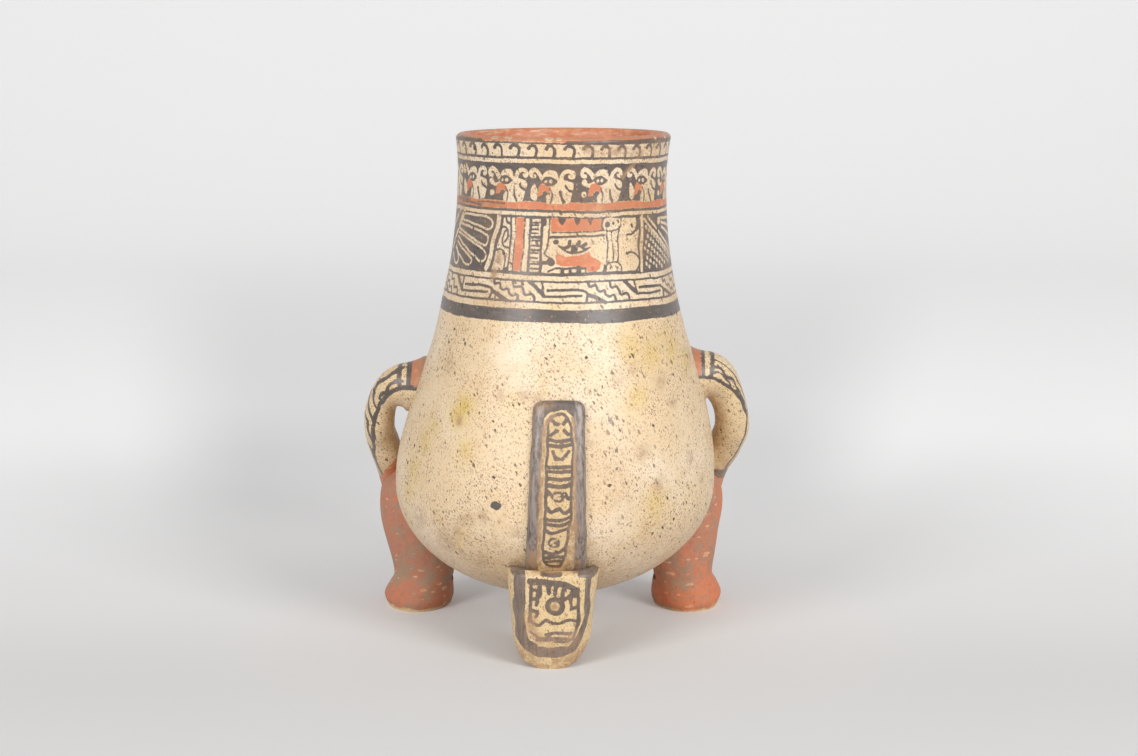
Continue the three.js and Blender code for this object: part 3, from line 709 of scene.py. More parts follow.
# stepped lines and a barred fillet under the panels
def paintSteps(canvas):
    canvas.line([(-25.8, 218.8), (-25.3, 216.6), (-22.3, 217.2), (-21.5, 214.7), (-20.1, 213.5), (-17.4, 214.1),
                 (-16.6, 211.7), (-14.7, 210.7), (-12.5, 211.3), (-11.4, 207.8)], 1.5)
    canvas.line([(-14.9, 218.8), (-14.1, 215.6), (-10.9, 216), (-9.7, 213.4), (-8.7, 211.3), (-6, 212),
                 (-4.6, 210.7), (-4.1, 207.8)], 1.5)
    canvas.line([(-6.6, 218.8), (0.1, 211.8)], 2.3)
    canvas.line([(-0.5, 218.6), (0, 211.2), (10.4, 211.3), (18.5, 211.7)], 1.5, curved=False)
    canvas.line([(2.2, 214.6), (10.4, 215), (18.5, 214.7), (21.3, 213.5), (22.2, 212.3)], 1.6)
    canvas.line([(22, 212.9), (21, 207.6)], 1.6)
    canvas.line([(22.7, 212), (30.6, 207.6)], 2.3)


# firing spots, brush flicks and stains of the belly: degrees round, height, then half sizes or width in mm
bellyMarks = {
    "bigSpot": (-20.2, 94.4, 3.2, 2.6),
    "spots": [
        (21.6, 125.6, 1.3, 1.5), (21.6, 115.6, 1.2, 1.2), (-14.2, 105.6, 1.0, 0.8),
        (-26.2, 132.4, 0.7, 1.2), (-21.6, 125.2, 0.7, 1.1), (-16.6, 122, 0.8, 0.8), (-17.8, 138.8, 0.8, 0.8),
        (-10.8, 120.8, 0.8, 0.7), (-12.4, 94.4, 0.8, 0.8), (-21.8, 86.8, 0.8, 0.7), (-32, 69.6, 1.1, 0.9),
        (-45.8, 92, 0.9, 0.8), (23.6, 83.6, 1.1, 0.9), (25.6, 82.4, 0.8, 0.8), (27, 83.6, 0.8, 1.0),
        (23.8, 80.8, 0.8, 0.7), (42.2, 144.4, 0.9, 0.8), (43.6, 134.8, 1.2, 1.0), (39.4, 144.8, 0.8, 0.7),
        (36, 136, 0.8, 0.8), (30.6, 125.6, 0.9, 0.8), (32.2, 124, 0.8, 0.8), (-11.8, 181.2, 0.8, 0.9),
        (45.4, 74.8, 1.1, 0.9), (42.6, 56.8, 0.9, 0.8), (13.4, 95.6, 0.8, 0.8), (16.8, 116.8, 0.8, 0.8),
    ],
    "flicks": [
        (12.6, 150.8, 15, 147.2, 1.1), (11, 145.6, 12.8, 143.2, 1.1), (19, 145.6, 21, 139.6, 1.7),
        (13.4, 140.4, 14.4, 138.4, 0.9), (16.6, 142.4, 17.2, 139.6, 0.9), (16.6, 138, 18, 136, 1.0),
        (23, 140.4, 23.4, 137.6, 0.9), (24.2, 136.4, 24.8, 134, 0.9), (26.4, 138, 27.2, 134, 1.1),
        (28.8, 138.4, 29.6, 135.2, 0.9), (-34.4, 176.4, -32.6, 174, 0.8), (-26.4, 169.6, -25.2, 167.2, 0.8),
    ],
    "yellow": [
        (-38.4, 146.8, 8), (-51.6, 134, 5), (-55.4, 124, 7), (-60.2, 106, 9), (-62.6, 93.2, 7), (32.8, 181.2, 9),
        (43.2, 176.4, 10), (57.6, 177.6, 9), (68.6, 169.6, 7), (32.2, 153.2, 8), (-33.6, 124, 7), (36.4, 93.6, 9),
    ],
    "stainAndShade": [
        (-51.8, 169.6, 4), (-22.4, 155.6, 3), (-12.4, 156.4, 4), (-7.6, 154.8, 4), (12.4, 130, 3), (-31.2, 84.8, 5),
        (-24.8, 87.6, 4), (56, 114.4, 4), (63.4, 99.6, 3), (38.2, 103.6, 5), (31.6, 123.2, 5), (32.4, 170, 3),
        (76.4, 170.4, 5), (-14, 59.6, 6), (18, 54.8, 6), (-36, 76.8, 4), (11.4, 68.4, 4), (-12.6, 79.6, 4),
        (-44, 66, 11), (-30, 57, 9), (-56, 78, 8), (-16, 50, 8), (46, 160, 5), (50, 148, 4), (25, 165, 4),
    ],
}


def paintMarks(canvas):
    def at(degrees, height):
        return math.radians(degrees) * float(wallRadius(height)), height

    for degrees, height, halfX, halfY in bellyMarks["spots"]:
        canvas.spot(*at(degrees, height), halfX, halfY)
    for fromDegrees, top, toDegrees, foot, width in bellyMarks["flicks"]:
        canvas.line([at(fromDegrees, top), at(toDegrees, foot)], width)
    canvas.dark = np.minimum(canvas.dark, 0.12)      # thin, so that they stay brown
    degrees, height, halfX, halfY = bellyMarks["bigSpot"]
    canvas.spot(*at(degrees, height), halfX, halfY)
    canvas.wash("yellow", [at(-37.6, 148), at(-39.6, 142)], 7, 0.95)
    for layer, amount in (("yellow", 0.6), ("stainAndShade", 0.55)):
        for degrees, height, size in bellyMarks[layer]:
            canvas.wash(layer, [at(degrees, height)], size, amount)
    canvas.wash("stainAndShade", [at(-38.6, 140.6), at(-38.4, 138.4)], 2.0, 0.95)
    canvas.wash("stainAndShade", [at(13, 134), at(24, 98)], 17, 0.22)
    canvas.stainAndShade = np.maximum(canvas.stainAndShade, 0.4 * np.clip((84 - canvas.up) / 40, 0, 1))     # darker and browner towards the bottom of the bowl


# the neck's bands from the lip down, and what use has done to them
def paintNeck(canvas, points, radius):
    perDegree = neckPaint["mmPerDegree"]
    for ring in neckPaint["darkRings"]:
        canvas.band(*ring)
    canvas.band(*neckPaint["orangeRing"], "orange")
    paintHooks(canvas)
    paintHeads(canvas)
    for turn in neckPaint["turns"]:
        canvas.move(turn * perDegree, 0, perDegree)
        for panel in (paintFeathers, paintSerpent, paintLadder, paintFace, paintBone, paintCommas, paintNet):
            panel(canvas)
    for k in range(neckPaint["units"]):
        hidden = max(0, k + 1 - neckPaint["seenUnits"])
        share = neckPaint["hiddenShare"]
        turn = neckPaint["firstUnit"] + neckPaint["unitTurn"] * (k - (1 - share) * hidden)
        canvas.move(turn * perDegree, 0, perDegree * (share if hidden else 1.0))
        paintSteps(canvas)
    canvas.move(0, 0, perDegree)
    canvas.band(*neckPaint["lip"], "orange")
    canvas.line([(2, 298), (40, 298.6), (80, 298.8), (120, 298.2)], 2.2)
    canvas.line([(-100, 298.2), (-66, 298.6), (-48, 298.2)], 1.8)
    for turned, halfX in neckPaint["chips"]:
        canvas.spot(turned, 300, halfX, 1.0, "bare")
    dusty = np.clip(0.1 + 0.2 * ripple(points, 31, 19), 0, 1) * (canvas.up > 203)
    groove = 0.8 * np.exp(-((radius - 62.6) / 0.9) ** 2) * (points[:, 2] > lipSpring - 1)
    crown = 0.6 * (points[:, 2] > lipTop - 0.7)
    canvas.stainAndShade = np.maximum(np.maximum(dusty, groove), crown)
    canvas.wash("stainAndShade", [(12, 294.5), (30, 293), (44, 292)], 3.2, 0.75)
    canvas.wash("stainAndShade", [(46, 291), (34, 278)], 1.6, 1)
    canvas.wash("stainAndShade", [(-33, 233), (-34.5, 221)], 2.8, 0.9)
    canvas.wash("stainAndShade", [(-80, 262), (-34, 262)], 2.8, 0.5)       # the ring is sooty on the left
    for turned, height, width in ((-68, 262.4, 2.2), (-57, 261.2, 1.2), (-40, 262.6, 0.9)):
        canvas.line([(turned - 11, height), (turned, height + 0.3), (turned + 9, height - 0.2)], width)


def paintJar(made):
    points = places(made)
    x, y, z = points.T
    radius = np.hypot(x, y)
    degrees = np.degrees(np.arctan2(x, -y))
    perDegree = neckPaint["mmPerDegree"]
    hand = neckPaint["wobble"]
    across = degrees * perDegree + hand * ripple(points, 17, 3) + 0.3 * ripple(points, 7, 5)
    up = z + neckPaint["slope"] * x + 0.7 * hand * ripple(points, 42, 7) + 0.3 * hand * ripple(points, 9, 11)
    canvas = Canvas(across, up, 360 * perDegree)
    if z.max() > neckPaint["foot"]:
        paintNeck(canvas, points, radius)
    marks = Canvas(np.radians(degrees) * radius + 0.4 * ripple(points, 5, 13), z + 0.4 * ripple(points, 5, 14))
    paintMarks(marks)
    for name in ("dark", "orange", "stainAndShade", "yellow"):
        setattr(canvas, name, np.maximum(getattr(canvas, name), getattr(marks, name)))
    # inside the jar only orange shows, paled in streaks: painted light on the inner wall
    inside = radius < wallRadius(np.minimum(z, lipSpring)) - jar["wall"] / 2
    canvas.dark[inside] = -9
    canvas.orange[inside] = 9
    canvas.wearAndLight[inside] = 0.75
    canvas.store(made.data)


# Materials
def shade(red, green, blue):     # a colour as a picture shows it, to the linear one that shaders use
    def linear(value):
        value = value / 255
        return value / 12.92 if value < 0.04045 else ((value + 0.055) / 1.055) ** 2.4
    return (linear(red), linear(green), linear(blue), 1)


def newFinish(name):
    made = bpy.data.materials.new(name)
    made.use_nodes = True
    made.node_tree.nodes.clear()
    wire = Wire(made.node_tree)
    place = wire.node("ShaderNodeTexCoord", out="Object")
    spot = wire.vector("SCALE", place, 1000.0)     # mm
    return made, wire, spot


def endFinish(wire, colour, roughness, height, depth, constants):
    raised = wire.node("ShaderNodeBump", {}, {"Strength": 1.0, "Distance": depth / 1000, "Height": height})
    sockets = {"Base Color": colour, "Roughness": roughness, "Normal": raised, **constants}
    skinOf = wire.node("ShaderNodeBsdfPrincipled", {}, sockets)
    wire.node("ShaderNodeOutputMaterial", {}, {"Surface": skinOf})


def moved(spot, seed):           # the same texture, from elsewhere in its field
    away = (37.0 * seed, -53.0 * seed, 71.0 * seed)
    return spot.vector("ADD", spot, away)


def noise(spot, size, detail=2.0, rough=0.5, seed=0):
    values = {"Vector": moved(spot, seed), "Scale": 1 / size, "Detail": detail, "Roughness": rough}
    return spot.node("ShaderNodeTexNoise", {}, values)


# scattered specks: pitch between cells, radius of the biggest, both mm
def specks(spot, pitch, biggest, rarity, seed):
    cell = spot.node("ShaderNodeTexVoronoi", {}, {"Vector": moved(spot, seed), "Scale": 1 / pitch}, "Distance")
    chance = spot.node("ShaderNodeSeparateColor", {}, {0: cell["Color"]})
    return (chance ** rarity * biggest - cell * pitch).between(-0.09, 0.09)


# colours as a picture shows them: slips, legs, bare clay and the paper behind
tones = {
    "pale": (237, 216, 187), "cream": (229, 202, 163), "buff": (212, 175, 126), "yellow": (214, 182, 96),
    "grey": (186, 166, 142), "grain": (114, 76, 44), "speck": (62, 38, 20), "dark": (61, 52, 51),
    "brownDark": (90, 67, 52), "dusty": (150, 136, 130), "orange": (203, 118, 78), "paleOrange": (228, 162, 120),
    "rubbed": (240, 200, 172), "dirt": (164, 128, 94),
    "legRed": (208, 130, 98), "legFaded": (182, 134, 110), "legWarm": (214, 126, 84), "legLight": (222, 152, 116),
    "legDeep": (176, 98, 70), "legDull": (160, 118, 102), "footRed": (230, 130, 80), "olive": (160, 142, 118),
    "scuff": (240, 184, 142), "legSpeck": (132, 88, 70), "soleEdge": (222, 194, 150),
    "clay": (178, 140, 104), "clayDark": (152, 112, 82), "clayGrit": (92, 70, 56),
    "paper": (225, 224, 224), "paperFar": (228, 227, 227), "paperCloud": (190, 189, 189),
    "evenPaper": (221, 220, 220), "black": (0, 0, 0), "white": (255, 255, 255),
}
tones = {name: shade(*value) for name, value in tones.items()}


# burnished cream slip, with the dark and orange painting that the piece's own layers hold
def paintedSlip():
    made, wire, spot = newFinish("painted_slip")

    def layer(name):
        return wire.node("ShaderNodeAttribute", {"attribute_name": name + "Paint"}, out="Fac")

    jitter = wire.node("ShaderNodeTexNoise", {}, {"Vector": spot, "Scale": 1.3, "Detail": 1.0}, "Color")
    shaken = wire.vector("ADD", spot, jitter)
    slant = (0.5, 0.0, -0.87)        # the brush left its specks long in this direction
    along = wire.vector("DOT_PRODUCT", shaken, slant, "Value")
    drawn = wire.vector("SCALE", slant, along * -0.5)
    slanted = wire.vector("ADD", shaken, drawn)
    fine = noise(spot, 1.2, 3.0, 0.6, 1)
    low = spot.axis("Z").between(206, 190)      # the belly below the neck is a little less pale
    cream = (noise(spot, 46, 3.0, 0.55, 2) + low * 0.09).between(0.36, 0.66).mix(tones["pale"], tones["cream"])
    cream = (noise(spot, 12, 5.0, 0.7, 3).between(0.5, 0.76) * 0.55).mix(cream, tones["buff"])
    blotch = noise(spot, 28, 4.0, 0.62, 4).between(0.56, 0.76) * 0.4
    yellowed = layer("yellow") * noise(spot, 6, 4.0, 0.65, 15).between(-0.1, 0.6)
    cream = wire.math("MAXIMUM", blotch, yellowed).mix(cream, tones["yellow"])
    cream = (noise(spot, 14, 5.0, 0.7, 5).between(0.6, 0.8) * 0.25).mix(cream, tones["grey"])
    crowd = noise(spot, 30, 3.0, 0.6, 6).between(0.3, 0.62) * 0.6 + 0.4
    grain = noise(spot, 0.8, 2.0, 0.6, 14).between(0.53, 0.66) * crowd
    cream = (grain * 0.6).mix(cream, tones["grain"])
    dust = specks(slanted, 1.15, 0.46, 0.8, 5) * crowd * 0.8
    small = wire.math("MAXIMUM", dust, specks(slanted, 2.3, 0.62, 1.3, 1) * crowd)
    specked = specks(slanted, 3.1, 0.92, 2.3, 2) * crowd
    specked = wire.math("MAXIMUM", specked, specks(shaken, 13, 1.5, 4.0, 3))
    ragged = (noise(spot, 1.7, 2.0, 0.6, 7) - 0.5) * 0.9 + (noise(spot, 0.55, 1.0, 0.5, 8) - 0.5) * 0.35
    rubbed = noise(spot, 5.5, 4.0, 0.7, 9) + layer("wearAndLight") * 0.12
    pits = specks(shaken, 2.4, 0.6, 1.5, 4) * (1 - layer("wearAndLight"))
    onDark = (layer("dark") + ragged).between(-0.2, 0.2) * rubbed.between(0.9, 0.72) * (1 - pits * 0.3)
    onOrange = (layer("orange") + ragged).between(-0.25, 0.25) * rubbed.between(0.92, 0.64) * (1 - pits * 0.3)

    def brushed(x, z, seed):         # noise drawn out along the brush's way
        return noise(wire.vector("MULTIPLY", spot, (x, x, z)), 1.6, 4.0, 0.65, seed)

    upright, around = brushed(1.0, 0.13, 16), brushed(0.16, 1.0, 17)
    orange = noise(spot, 8, 4.0, 0.65, 10).between(0.46, 0.8).mix(tones["orange"], tones["paleOrange"])
    # the orange goes pale where it is rubbed, and inside the jar as painted light
    orange = (layer("wearAndLight") * around.between(0.5, 0.7)).mix(orange, tones["rubbed"])
    dark = noise(spot, 10, 3.0, 0.6, 11).between(0.48, 0.78).mix(tones["dark"], tones["brownDark"])
    dark = (around.between(0.5, 0.8) * 0.35).mix(dark, tones["dusty"])
    dark = (layer("wearAndLight") * upright.between(0.32, 0.62)).mix(dark, tones["dusty"])
    dark = (layer("wearAndLight") * upright.between(0.5, 0.3) * 0.45).mix(dark, tones["speck"])
    colour = (small * 0.85).mix(cream, tones["grain"])
    colour = onOrange.mix(colour, orange)
    colour = (specked * (1 - onOrange * 0.75) * 0.9).mix(colour, tones["speck"])
    colour = (onDark * 0.95).mix(colour, dark)
    # stains and dirt, and on the arms' inner sides painted shade, darken the colour
    stainedAndShaded = layer("stainAndShade") * noise(spot, 4, 3.0, 0.6, 12).between(0.2, 0.6)
    colour = stainedAndShaded.mix(colour, tones["dirt"])
    roughness = 0.42 + fine * 0.14 + specked * 0.15 - onDark * 0.05
    height = noise(spot, 6, 3.0, 0.5, 13) * 0.7 + fine * 0.18 - specked * 0.2 + onDark * 0.06
    coat = {"Coat Weight": (onDark * 0.35 + 0.28) * (1 - specked * 0.8), "Coat Roughness": 0.4}
    endFinish(wire, colour, roughness, height, 0.5, coat)
    return made


# matte orange-red slip of the legs, rubbed to grey and scuffed pale
def wornOrange():
    made, wire, spot = newFinish("orange_slip")
    height = spot.axis("Z")
    dull = height["X"].between(30, -30)      # the left leg is the duller one
    fine = noise(spot, 0.9, 3.0, 0.6, 1)
    red = noise(spot, 19, 3.0, 0.6, 2).between(0.36, 0.62).mix(tones["legRed"], tones["legFaded"])
    red = (noise(spot, 8, 3.0, 0.6, 8).between(0.42, 0.68) * 0.65).mix(red, tones["legWarm"])
    red = (noise(spot, 1.8, 4.0, 0.7, 3).between(0.45, 0.7) * 0.4).mix(red, tones["legLight"])
    red = (noise(spot, 3.2, 5.0, 0.75, 11).between(0.5, 0.66) * 0.45).mix(red, tones["legDeep"])
    red = (dull * 0.35).mix(red, tones["legDull"])
    foot = height.between(30, 10) * (1 - dull * 0.6)
    red = (foot * noise(spot, 4, 4.0, 0.7, 12).between(0.36, 0.56) * 0.6).mix(red, tones["footRed"])
    ankle = height.between(46, 34) * height.between(12, 20)
    olive = (noise(spot, 9, 4.0, 0.65, 4) + ankle * 0.08).between(0.5, 0.66) * (0.55 + dull * 0.2)
    colour = olive.mix(red, tones["olive"])
    drawn = wire.vector("MULTIPLY", spot, (0.42, 0.42, 1.0))
    scuffed = specks(drawn, 5.0, 1.5, 3.2, 5) * noise(spot, 1.5, 2.0, 0.6, 9).between(0.3, 0.6)
    flecks = specks(drawn, 2.4, 0.75, 2.0, 6) * noise(spot, 14, 2.0, 0.5, 10).between(0.4, 0.55)
    colour = (wire.math("MAXIMUM", scuffed, flecks) * 0.75).mix(colour, tones["scuff"])
    colour = (specks(spot, 3.6, 0.7, 2.2, 4) * 0.5).mix(colour, tones["legSpeck"])
    edge = (height + (noise(spot, 6, 3.0, 0.6, 6) - 0.5) * 7).between(2.6, 0.8)
    colour = edge.mix(colour, tones["soleEdge"])
    roughness = 0.6 + fine * 0.2
    rough = noise(spot, 5, 4.0, 0.6, 7) * 0.8 + fine * 0.3 + scuffed * 0.1
    endFinish(wire, colour, roughness, rough, 0.8, {"Specular IOR Level": 0.4})
    return made


def bareClay():
    made, wire, spot = newFinish("bare_clay")
    fine = noise(spot, 0.7, 3.0, 0.6, 1)
    colour = noise(spot, 5, 4.0, 0.6, 2).between(0.35, 0.7).mix(tones["clay"], tones["clayDark"])
    colour = (specks(spot, 2.2, 0.8, 2.0, 5) * 0.7).mix(colour, tones["clayGrit"])
    endFinish(wire, colour, 0.8 + fine * 0.15, noise(spot, 2.5, 4.0, 0.65, 3), 0.5, {"Specular IOR Level": 0.3})
    return made


painted = paintedSlip()
legSlip = wornOrange()
clay = bareClay()
print("finishes made")


# the jar
def makeJar():
    tree = turnedWallTree()
    values = {
        "Columns": jar["columns"], "Unevenness": jar["unevenness"], "Left Ease": jar["leftEase"] / 1000,
        "Lean": stance["lean"], "Lean Level": stance["leanLevel"] / 1000, "Axis Y": stance["axisY"] / 1000,
        "Finish": painted,
    }
    profiles = {
        "potBowl": ("bowl", bowlProfile(jar["plainStep"])),
        "potBelly": ("belly_wall", wallProfile("belly_wall", jar["plainStep"])),
        "potShoulder": ("shoulder_wall", wallProfile("shoulder_wall", jar["shoulderStep"])),
        "potNeck": ("neck_wall", wallProfile("neck_wall", jar["paintStep"])),
        "potLip": ("rim_lip", lipProfile(jar["paintStep"])),
    }
    for name, (node, profile) in profiles.items():
        line = np.stack([profile[:, 0], np.zeros(len(profile)), profile[:, 1]], 1) / 1000
        made = grow(name, tree, line, values)
        paintJar(made)
        keep(made, "orange_slip" if node == "rim_lip" else "painted_slip", node)


makeJar()


# the two hand-shaped sides differ a little
sides = {
    "left": {"sign": -1, "thighOverhang": 13, "shoulderRise": 57, "armThickness": 19, "bendTuck": 3.5, "pawTuck": 5},
    "right": {"sign": 1, "thighOverhang": 8, "shoulderRise": 63.5, "armThickness": 21, "bendTuck": 5.5, "pawTuck": 9},
}
domeAngles = np.linspace(0, 0.95 * math.pi / 2, 4)
kneeHeight = bellyHeight + 3

leg = {
    "forward": 45, "kneeRound": 20, "kneeBack": 4, "calfHeight": 56, "thighWidth": 46, "thighDepth": 50,
    "ankleHeight": 22, "ankleWidth": 37.5, "ankleDepth": 40, "ankleTuck": 3.2, "footWidth": 44.4, "footLength": 60,
    "footOverhang": 10.5, "toeReach": 6, "wall": 6, "soleThickness": 6, "soleBevel": 2,
    "ventLength": 12, "ventWidth": 4, "columns": 120, "step": 1.0, "soleStep": 0.5, "unevenness": 0.5, "waveSize": 24,
    "hollowFrom": 6,         # loops of the hollow that the sole takes
}
footAcross = jar["bellyRadius"] + leg["footOverhang"] - leg["footWidth"] / 2


def legRings(side):              # x, y, z, half width, half depth
    thigh = jar["bellyRadius"] + side["thighOverhang"] - leg["thighWidth"] / 2
    ahead = leg["forward"] + leg["toeReach"]
    kneeFoot = kneeHeight - leg["kneeRound"]
    ankle = footAcross - leg["ankleTuck"]
    instep = (leg["soleThickness"] + leg["ankleHeight"]) / 2
    instepDepth = (leg["footLength"] + leg["ankleDepth"]) / 2
    instepWidth = (leg["footWidth"] + leg["ankleWidth"]) / 2
    bevel = 2 * leg["soleBevel"]
    rings = [
        (footAcross, ahead, 0, leg["footWidth"] - bevel, leg["footLength"] - bevel),
        (footAcross, ahead, leg["soleThickness"], leg["footWidth"], leg["footLength"]),
        ((ankle + footAcross) / 2, (leg["forward"] + ahead) / 2, instep, instepWidth, instepDepth),
        (ankle, leg["forward"], leg["ankleHeight"], leg["ankleWidth"], leg["ankleDepth"]),
        (thigh, leg["forward"], leg["calfHeight"], leg["thighWidth"], leg["thighDepth"]),
    ]
    back = leg["forward"] - leg["kneeBack"]
    for angle in domeAngles:
        size = math.cos(angle)
        rise = kneeFoot + leg["kneeRound"] * math.sin(angle)
        rings.append((thigh, back, rise, leg["thighWidth"] * size, leg["thighDepth"] * size))
    rings = np.array(rings, float)
    rings[:, 0] *= side["sign"]
    rings[:, 3:] /= 2
    return rings


# level loops up the rings from one ring to another
def levelStack(rings, first, last, step, columns, thicker=0.0, squareness=2):
    shares = np.linspace(first, last, max(3, round(np.ptp(rings[[first, last], 2]) / step)))
    return ringLoops(rings, shares / (len(rings) - 1), (1, 0, 0), (0, 1, 0), columns, thicker, squareness)


def uneven(loops, amount, size, seed):
    away = unit(loops - loops.mean(1, keepdims=True))
    return loops + away * (amount * ripple(loops, size, seed))[..., None]


def ventCutter(side):            # a slit with round ends through the inner wall
    angle = np.linspace(0, 2 * math.pi, 32, endpoint=False)
    half = (leg["ventLength"] - leg["ventWidth"]) / 2
    y = leg["forward"] + half * np.sign(np.cos(angle)) + leg["ventWidth"] / 2 * np.cos(angle)
    z = leg["soleThickness"] + leg["ventLength"] + leg["ventWidth"] / 2 * np.sin(angle)
    ends = [side["sign"] * x for x in (footAcross, footAcross - leg["footWidth"])]
    return skin("vent", np.stack([np.stack([np.full(32, x), y, z], 1) for x in ends]), clay)


def makeLeg(word, side):
    rings = legRings(side)
    last = len(rings) - 1
    outside = levelStack(rings, 1, last, leg["step"], leg["columns"])
    seed = 21 + side["sign"]
    outside = lute(uneven(outside, leg["unevenness"], leg["waveSize"], seed), reach=4, flare=1.2)
    hollow = levelStack(rings, 0, last - len(domeAngles) + 1, step=4, columns=40, thicker=-leg["wall"])
    hollow = lute(hollow, reach=1, flare=0, sink=-0.6)
    hollow[:, :, 2] = np.maximum(hollow[:, :, 2], leg["soleThickness"] - 1)
    hollow = skin("hollow", hollow[leg["hollowFrom"]:], clay)
    made = carve(skin(word + "Leg", outside, legSlip), hollow, ventCutter(side))
    keep(made, "orange_slip", word + "_leg")
    sole = levelStack(rings, 0, 1, leg["soleStep"], leg["columns"])
    sole = uneven(sole, leg["unevenness"], leg["waveSize"], seed)
    keep(skin(word + "Sole", sole, legSlip), "bare_clay", word + "_sole")


arm = {
    "overhang": 22, "shoulderThickness": 30, "depth": 20, "bendRise": 4, "elbowRise": 30, "shoulderForward": 5,
    "elbowForward": 21, "pawForward": 42, "pawDepth": 23, "pawCurl": 4, "pawDrop": 24, "embed": 8,
    "columns": 96, "step": 0.8,
    "underKnee": 2,              # mm that the paw's tip lies inside the leg's outer side
    "rootOrange": 9.8,           # mm of orange at the root
    # edge of the painted zone: mm from the root, degrees from the outer line
    "zone": {
        "left": [(0, 92), (8, 88), (13, 92), (20, 95), (27, 93), (36, 84), (48, 75), (55, 70), (62, 58), (73, 42),
                 (80, 42), (90, 50), (96, 58), (112, 60)],
        "right": [(0, 92), (8, 88), (14, 94), (18, 90), (26, 68), (38, 48), (45, 38), (51, 32), (58, 40), (74, 38),
                  (87, 42), (95, 46), (118, 46)],
    },
    # strokes in the zone: mm from the root, share of the way to its edge; the width last
    "strokes": {
        "left": [
            ([(13.6, 0.33), (15.2, 0.41), (18, 0.49), (22, 0.42), (26.4, 0.43), (29.6, 0.55)], 3.0),
            ([(29.6, 0.55), (34.8, 0.84)], 1.9), ([(13.6, 0.8), (15.6, 0.73), (18, 0.78), (19.4, 0.98)], 2.3),
            ([(20, 0.9), (22.4, 0.82), (26.4, 0.84)], 2.0),
            ([(31, 0.1), (32.4, 0.23), (35.6, 0.33), (39.2, 0.56), (42, 0.76), (45, 0.96)], 2.2),
            ([(43, 0.26), (44.8, 0.41), (46.8, 0.6), (52.4, 0.72), (58, 0.96)], 2.0), ([(64, 0.4), (69, 0.8)], 1.6),
        ],
        "right": [
            ([(13.6, 0.45), (17, 0.46), (23.6, 0.46), (38, 0.42), (47.6, 0.56), (52, 0.9)], 1.1),
            ([(13.6, 0.68), (16, 0.63), (18.4, 0.74), (23.2, 0.66), (30.8, 0.77), (43.6, 0.82), (48, 1.0)], 1.4),
            ([(14, 0.83), (15.6, 0.76), (18.4, 0.81), (22.4, 0.87), (26, 1.0)], 1.2), ([(30, 0.95), (48, 0.95)], 2.4),
        ],
    },
    "bands": {"left": [(9.6, 11.6), (13.2, 14.6)], "right": [(9.8, 11.2), (12.8, 14.1)]},
    "edgeLine": {"left": 2.8, "right": 1.8},
    # where the paw's orange begins, and a dark patch on it: mm from the outer line, mm from the root
    "paw": {
        "left": [(0, 97), (8, 96), (12, 90), (16, 80), (20, 78), (40, 74)],
        "right": [(0, 104), (12, 103), (16, 102), (24, 99), (40, 92)],
    },
    "pawDark": {"left": [], "right": [(0, 94), (24, 90), (24, 99), (12, 103), (0, 104)]},
}


def armRings(side):
    shoulder = bellyHeight + side["shoulderRise"]
    elbow = bellyHeight + arm["elbowRise"]
    thick = side["armThickness"]
    bend = (shoulder + elbow) / 2 + arm["bendRise"]
    root = wallRadius(shoulder)
    flare = (arm["shoulderThickness"] + thick) / 2
    across = jar["bellyRadius"] + arm["overhang"] - thick / 2
    paw = across - side["pawTuck"]
    bendForward = (arm["shoulderForward"] + arm["elbowForward"]) / 2
    wristForward = (arm["elbowForward"] + arm["pawForward"]) / 2
    knee = jar["bellyRadius"] + side["thighOverhang"] - arm["underKnee"]
    rings = np.array([
        (root - arm["embed"], arm["shoulderForward"], shoulder, arm["shoulderThickness"], arm["shoulderThickness"]),
        (root + arm["embed"], arm["shoulderForward"], shoulder, flare, flare),
        (across - side["bendTuck"], bendForward, bend, thick, arm["depth"]),
        (across, arm["elbowForward"], elbow, thick, arm["depth"]),
        (across - side["pawTuck"] / 3, wristForward, (elbow + kneeHeight) / 2, thick, arm["depth"]),
        (paw, arm["pawForward"], kneeHeight, thick, arm["pawDepth"]),
        (knee - thick / 4, arm["pawForward"] + arm["pawCurl"], kneeHeight - arm["pawDrop"], thick / 2,
         arm["pawDepth"] / 2),
    ], float)
    rings[:, 0] *= side["sign"]
    rings[:, 3:] /= 2
    return rings


def makeArm(word, side):
    rings = armRings(side)
    fine = np.linspace(0, 1, 4001)
    track = throughPoints(rings[:, :3], fine)
    gone = runOf(track)
    along = np.linspace(0, gone[-1], round(gone[-1] / arm["step"]))
    shares = np.interp(along, gone, fine)
    tangents = unit(throughPoints(rings[:, :3], shares + 1e-3) - throughPoints(rings[:, :3], shares - 1e-3))
    deep = unit(np.array([0, 1, 0]) - tangents * tangents[:, 1:2])
    out = np.cross(tangents, deep)
    out *= np.sign((out * np.array([side["sign"], 0, 0.6])).sum(1, keepdims=True))    # away from the jar
    loops = ringLoops(rings, shares, out, deep, arm["columns"])
    loops = lute(uneven(loops, amount=0.35, size=22, seed=31 + side["sign"]), reach=9, flare=3.0, sink=5)
    made = skin(word + "Arm", loops, painted)
    angle = np.linspace(0, 2 * math.pi, arm["columns"], endpoint=False)
    angle = np.degrees((angle + math.pi) % (2 * math.pi) - math.pi)
    paintArm(made, word, along, angle, throughPoints(rings[:, 3:], shares, 0).mean(1))
    keep(made, "painted_slip", word + "_arm")


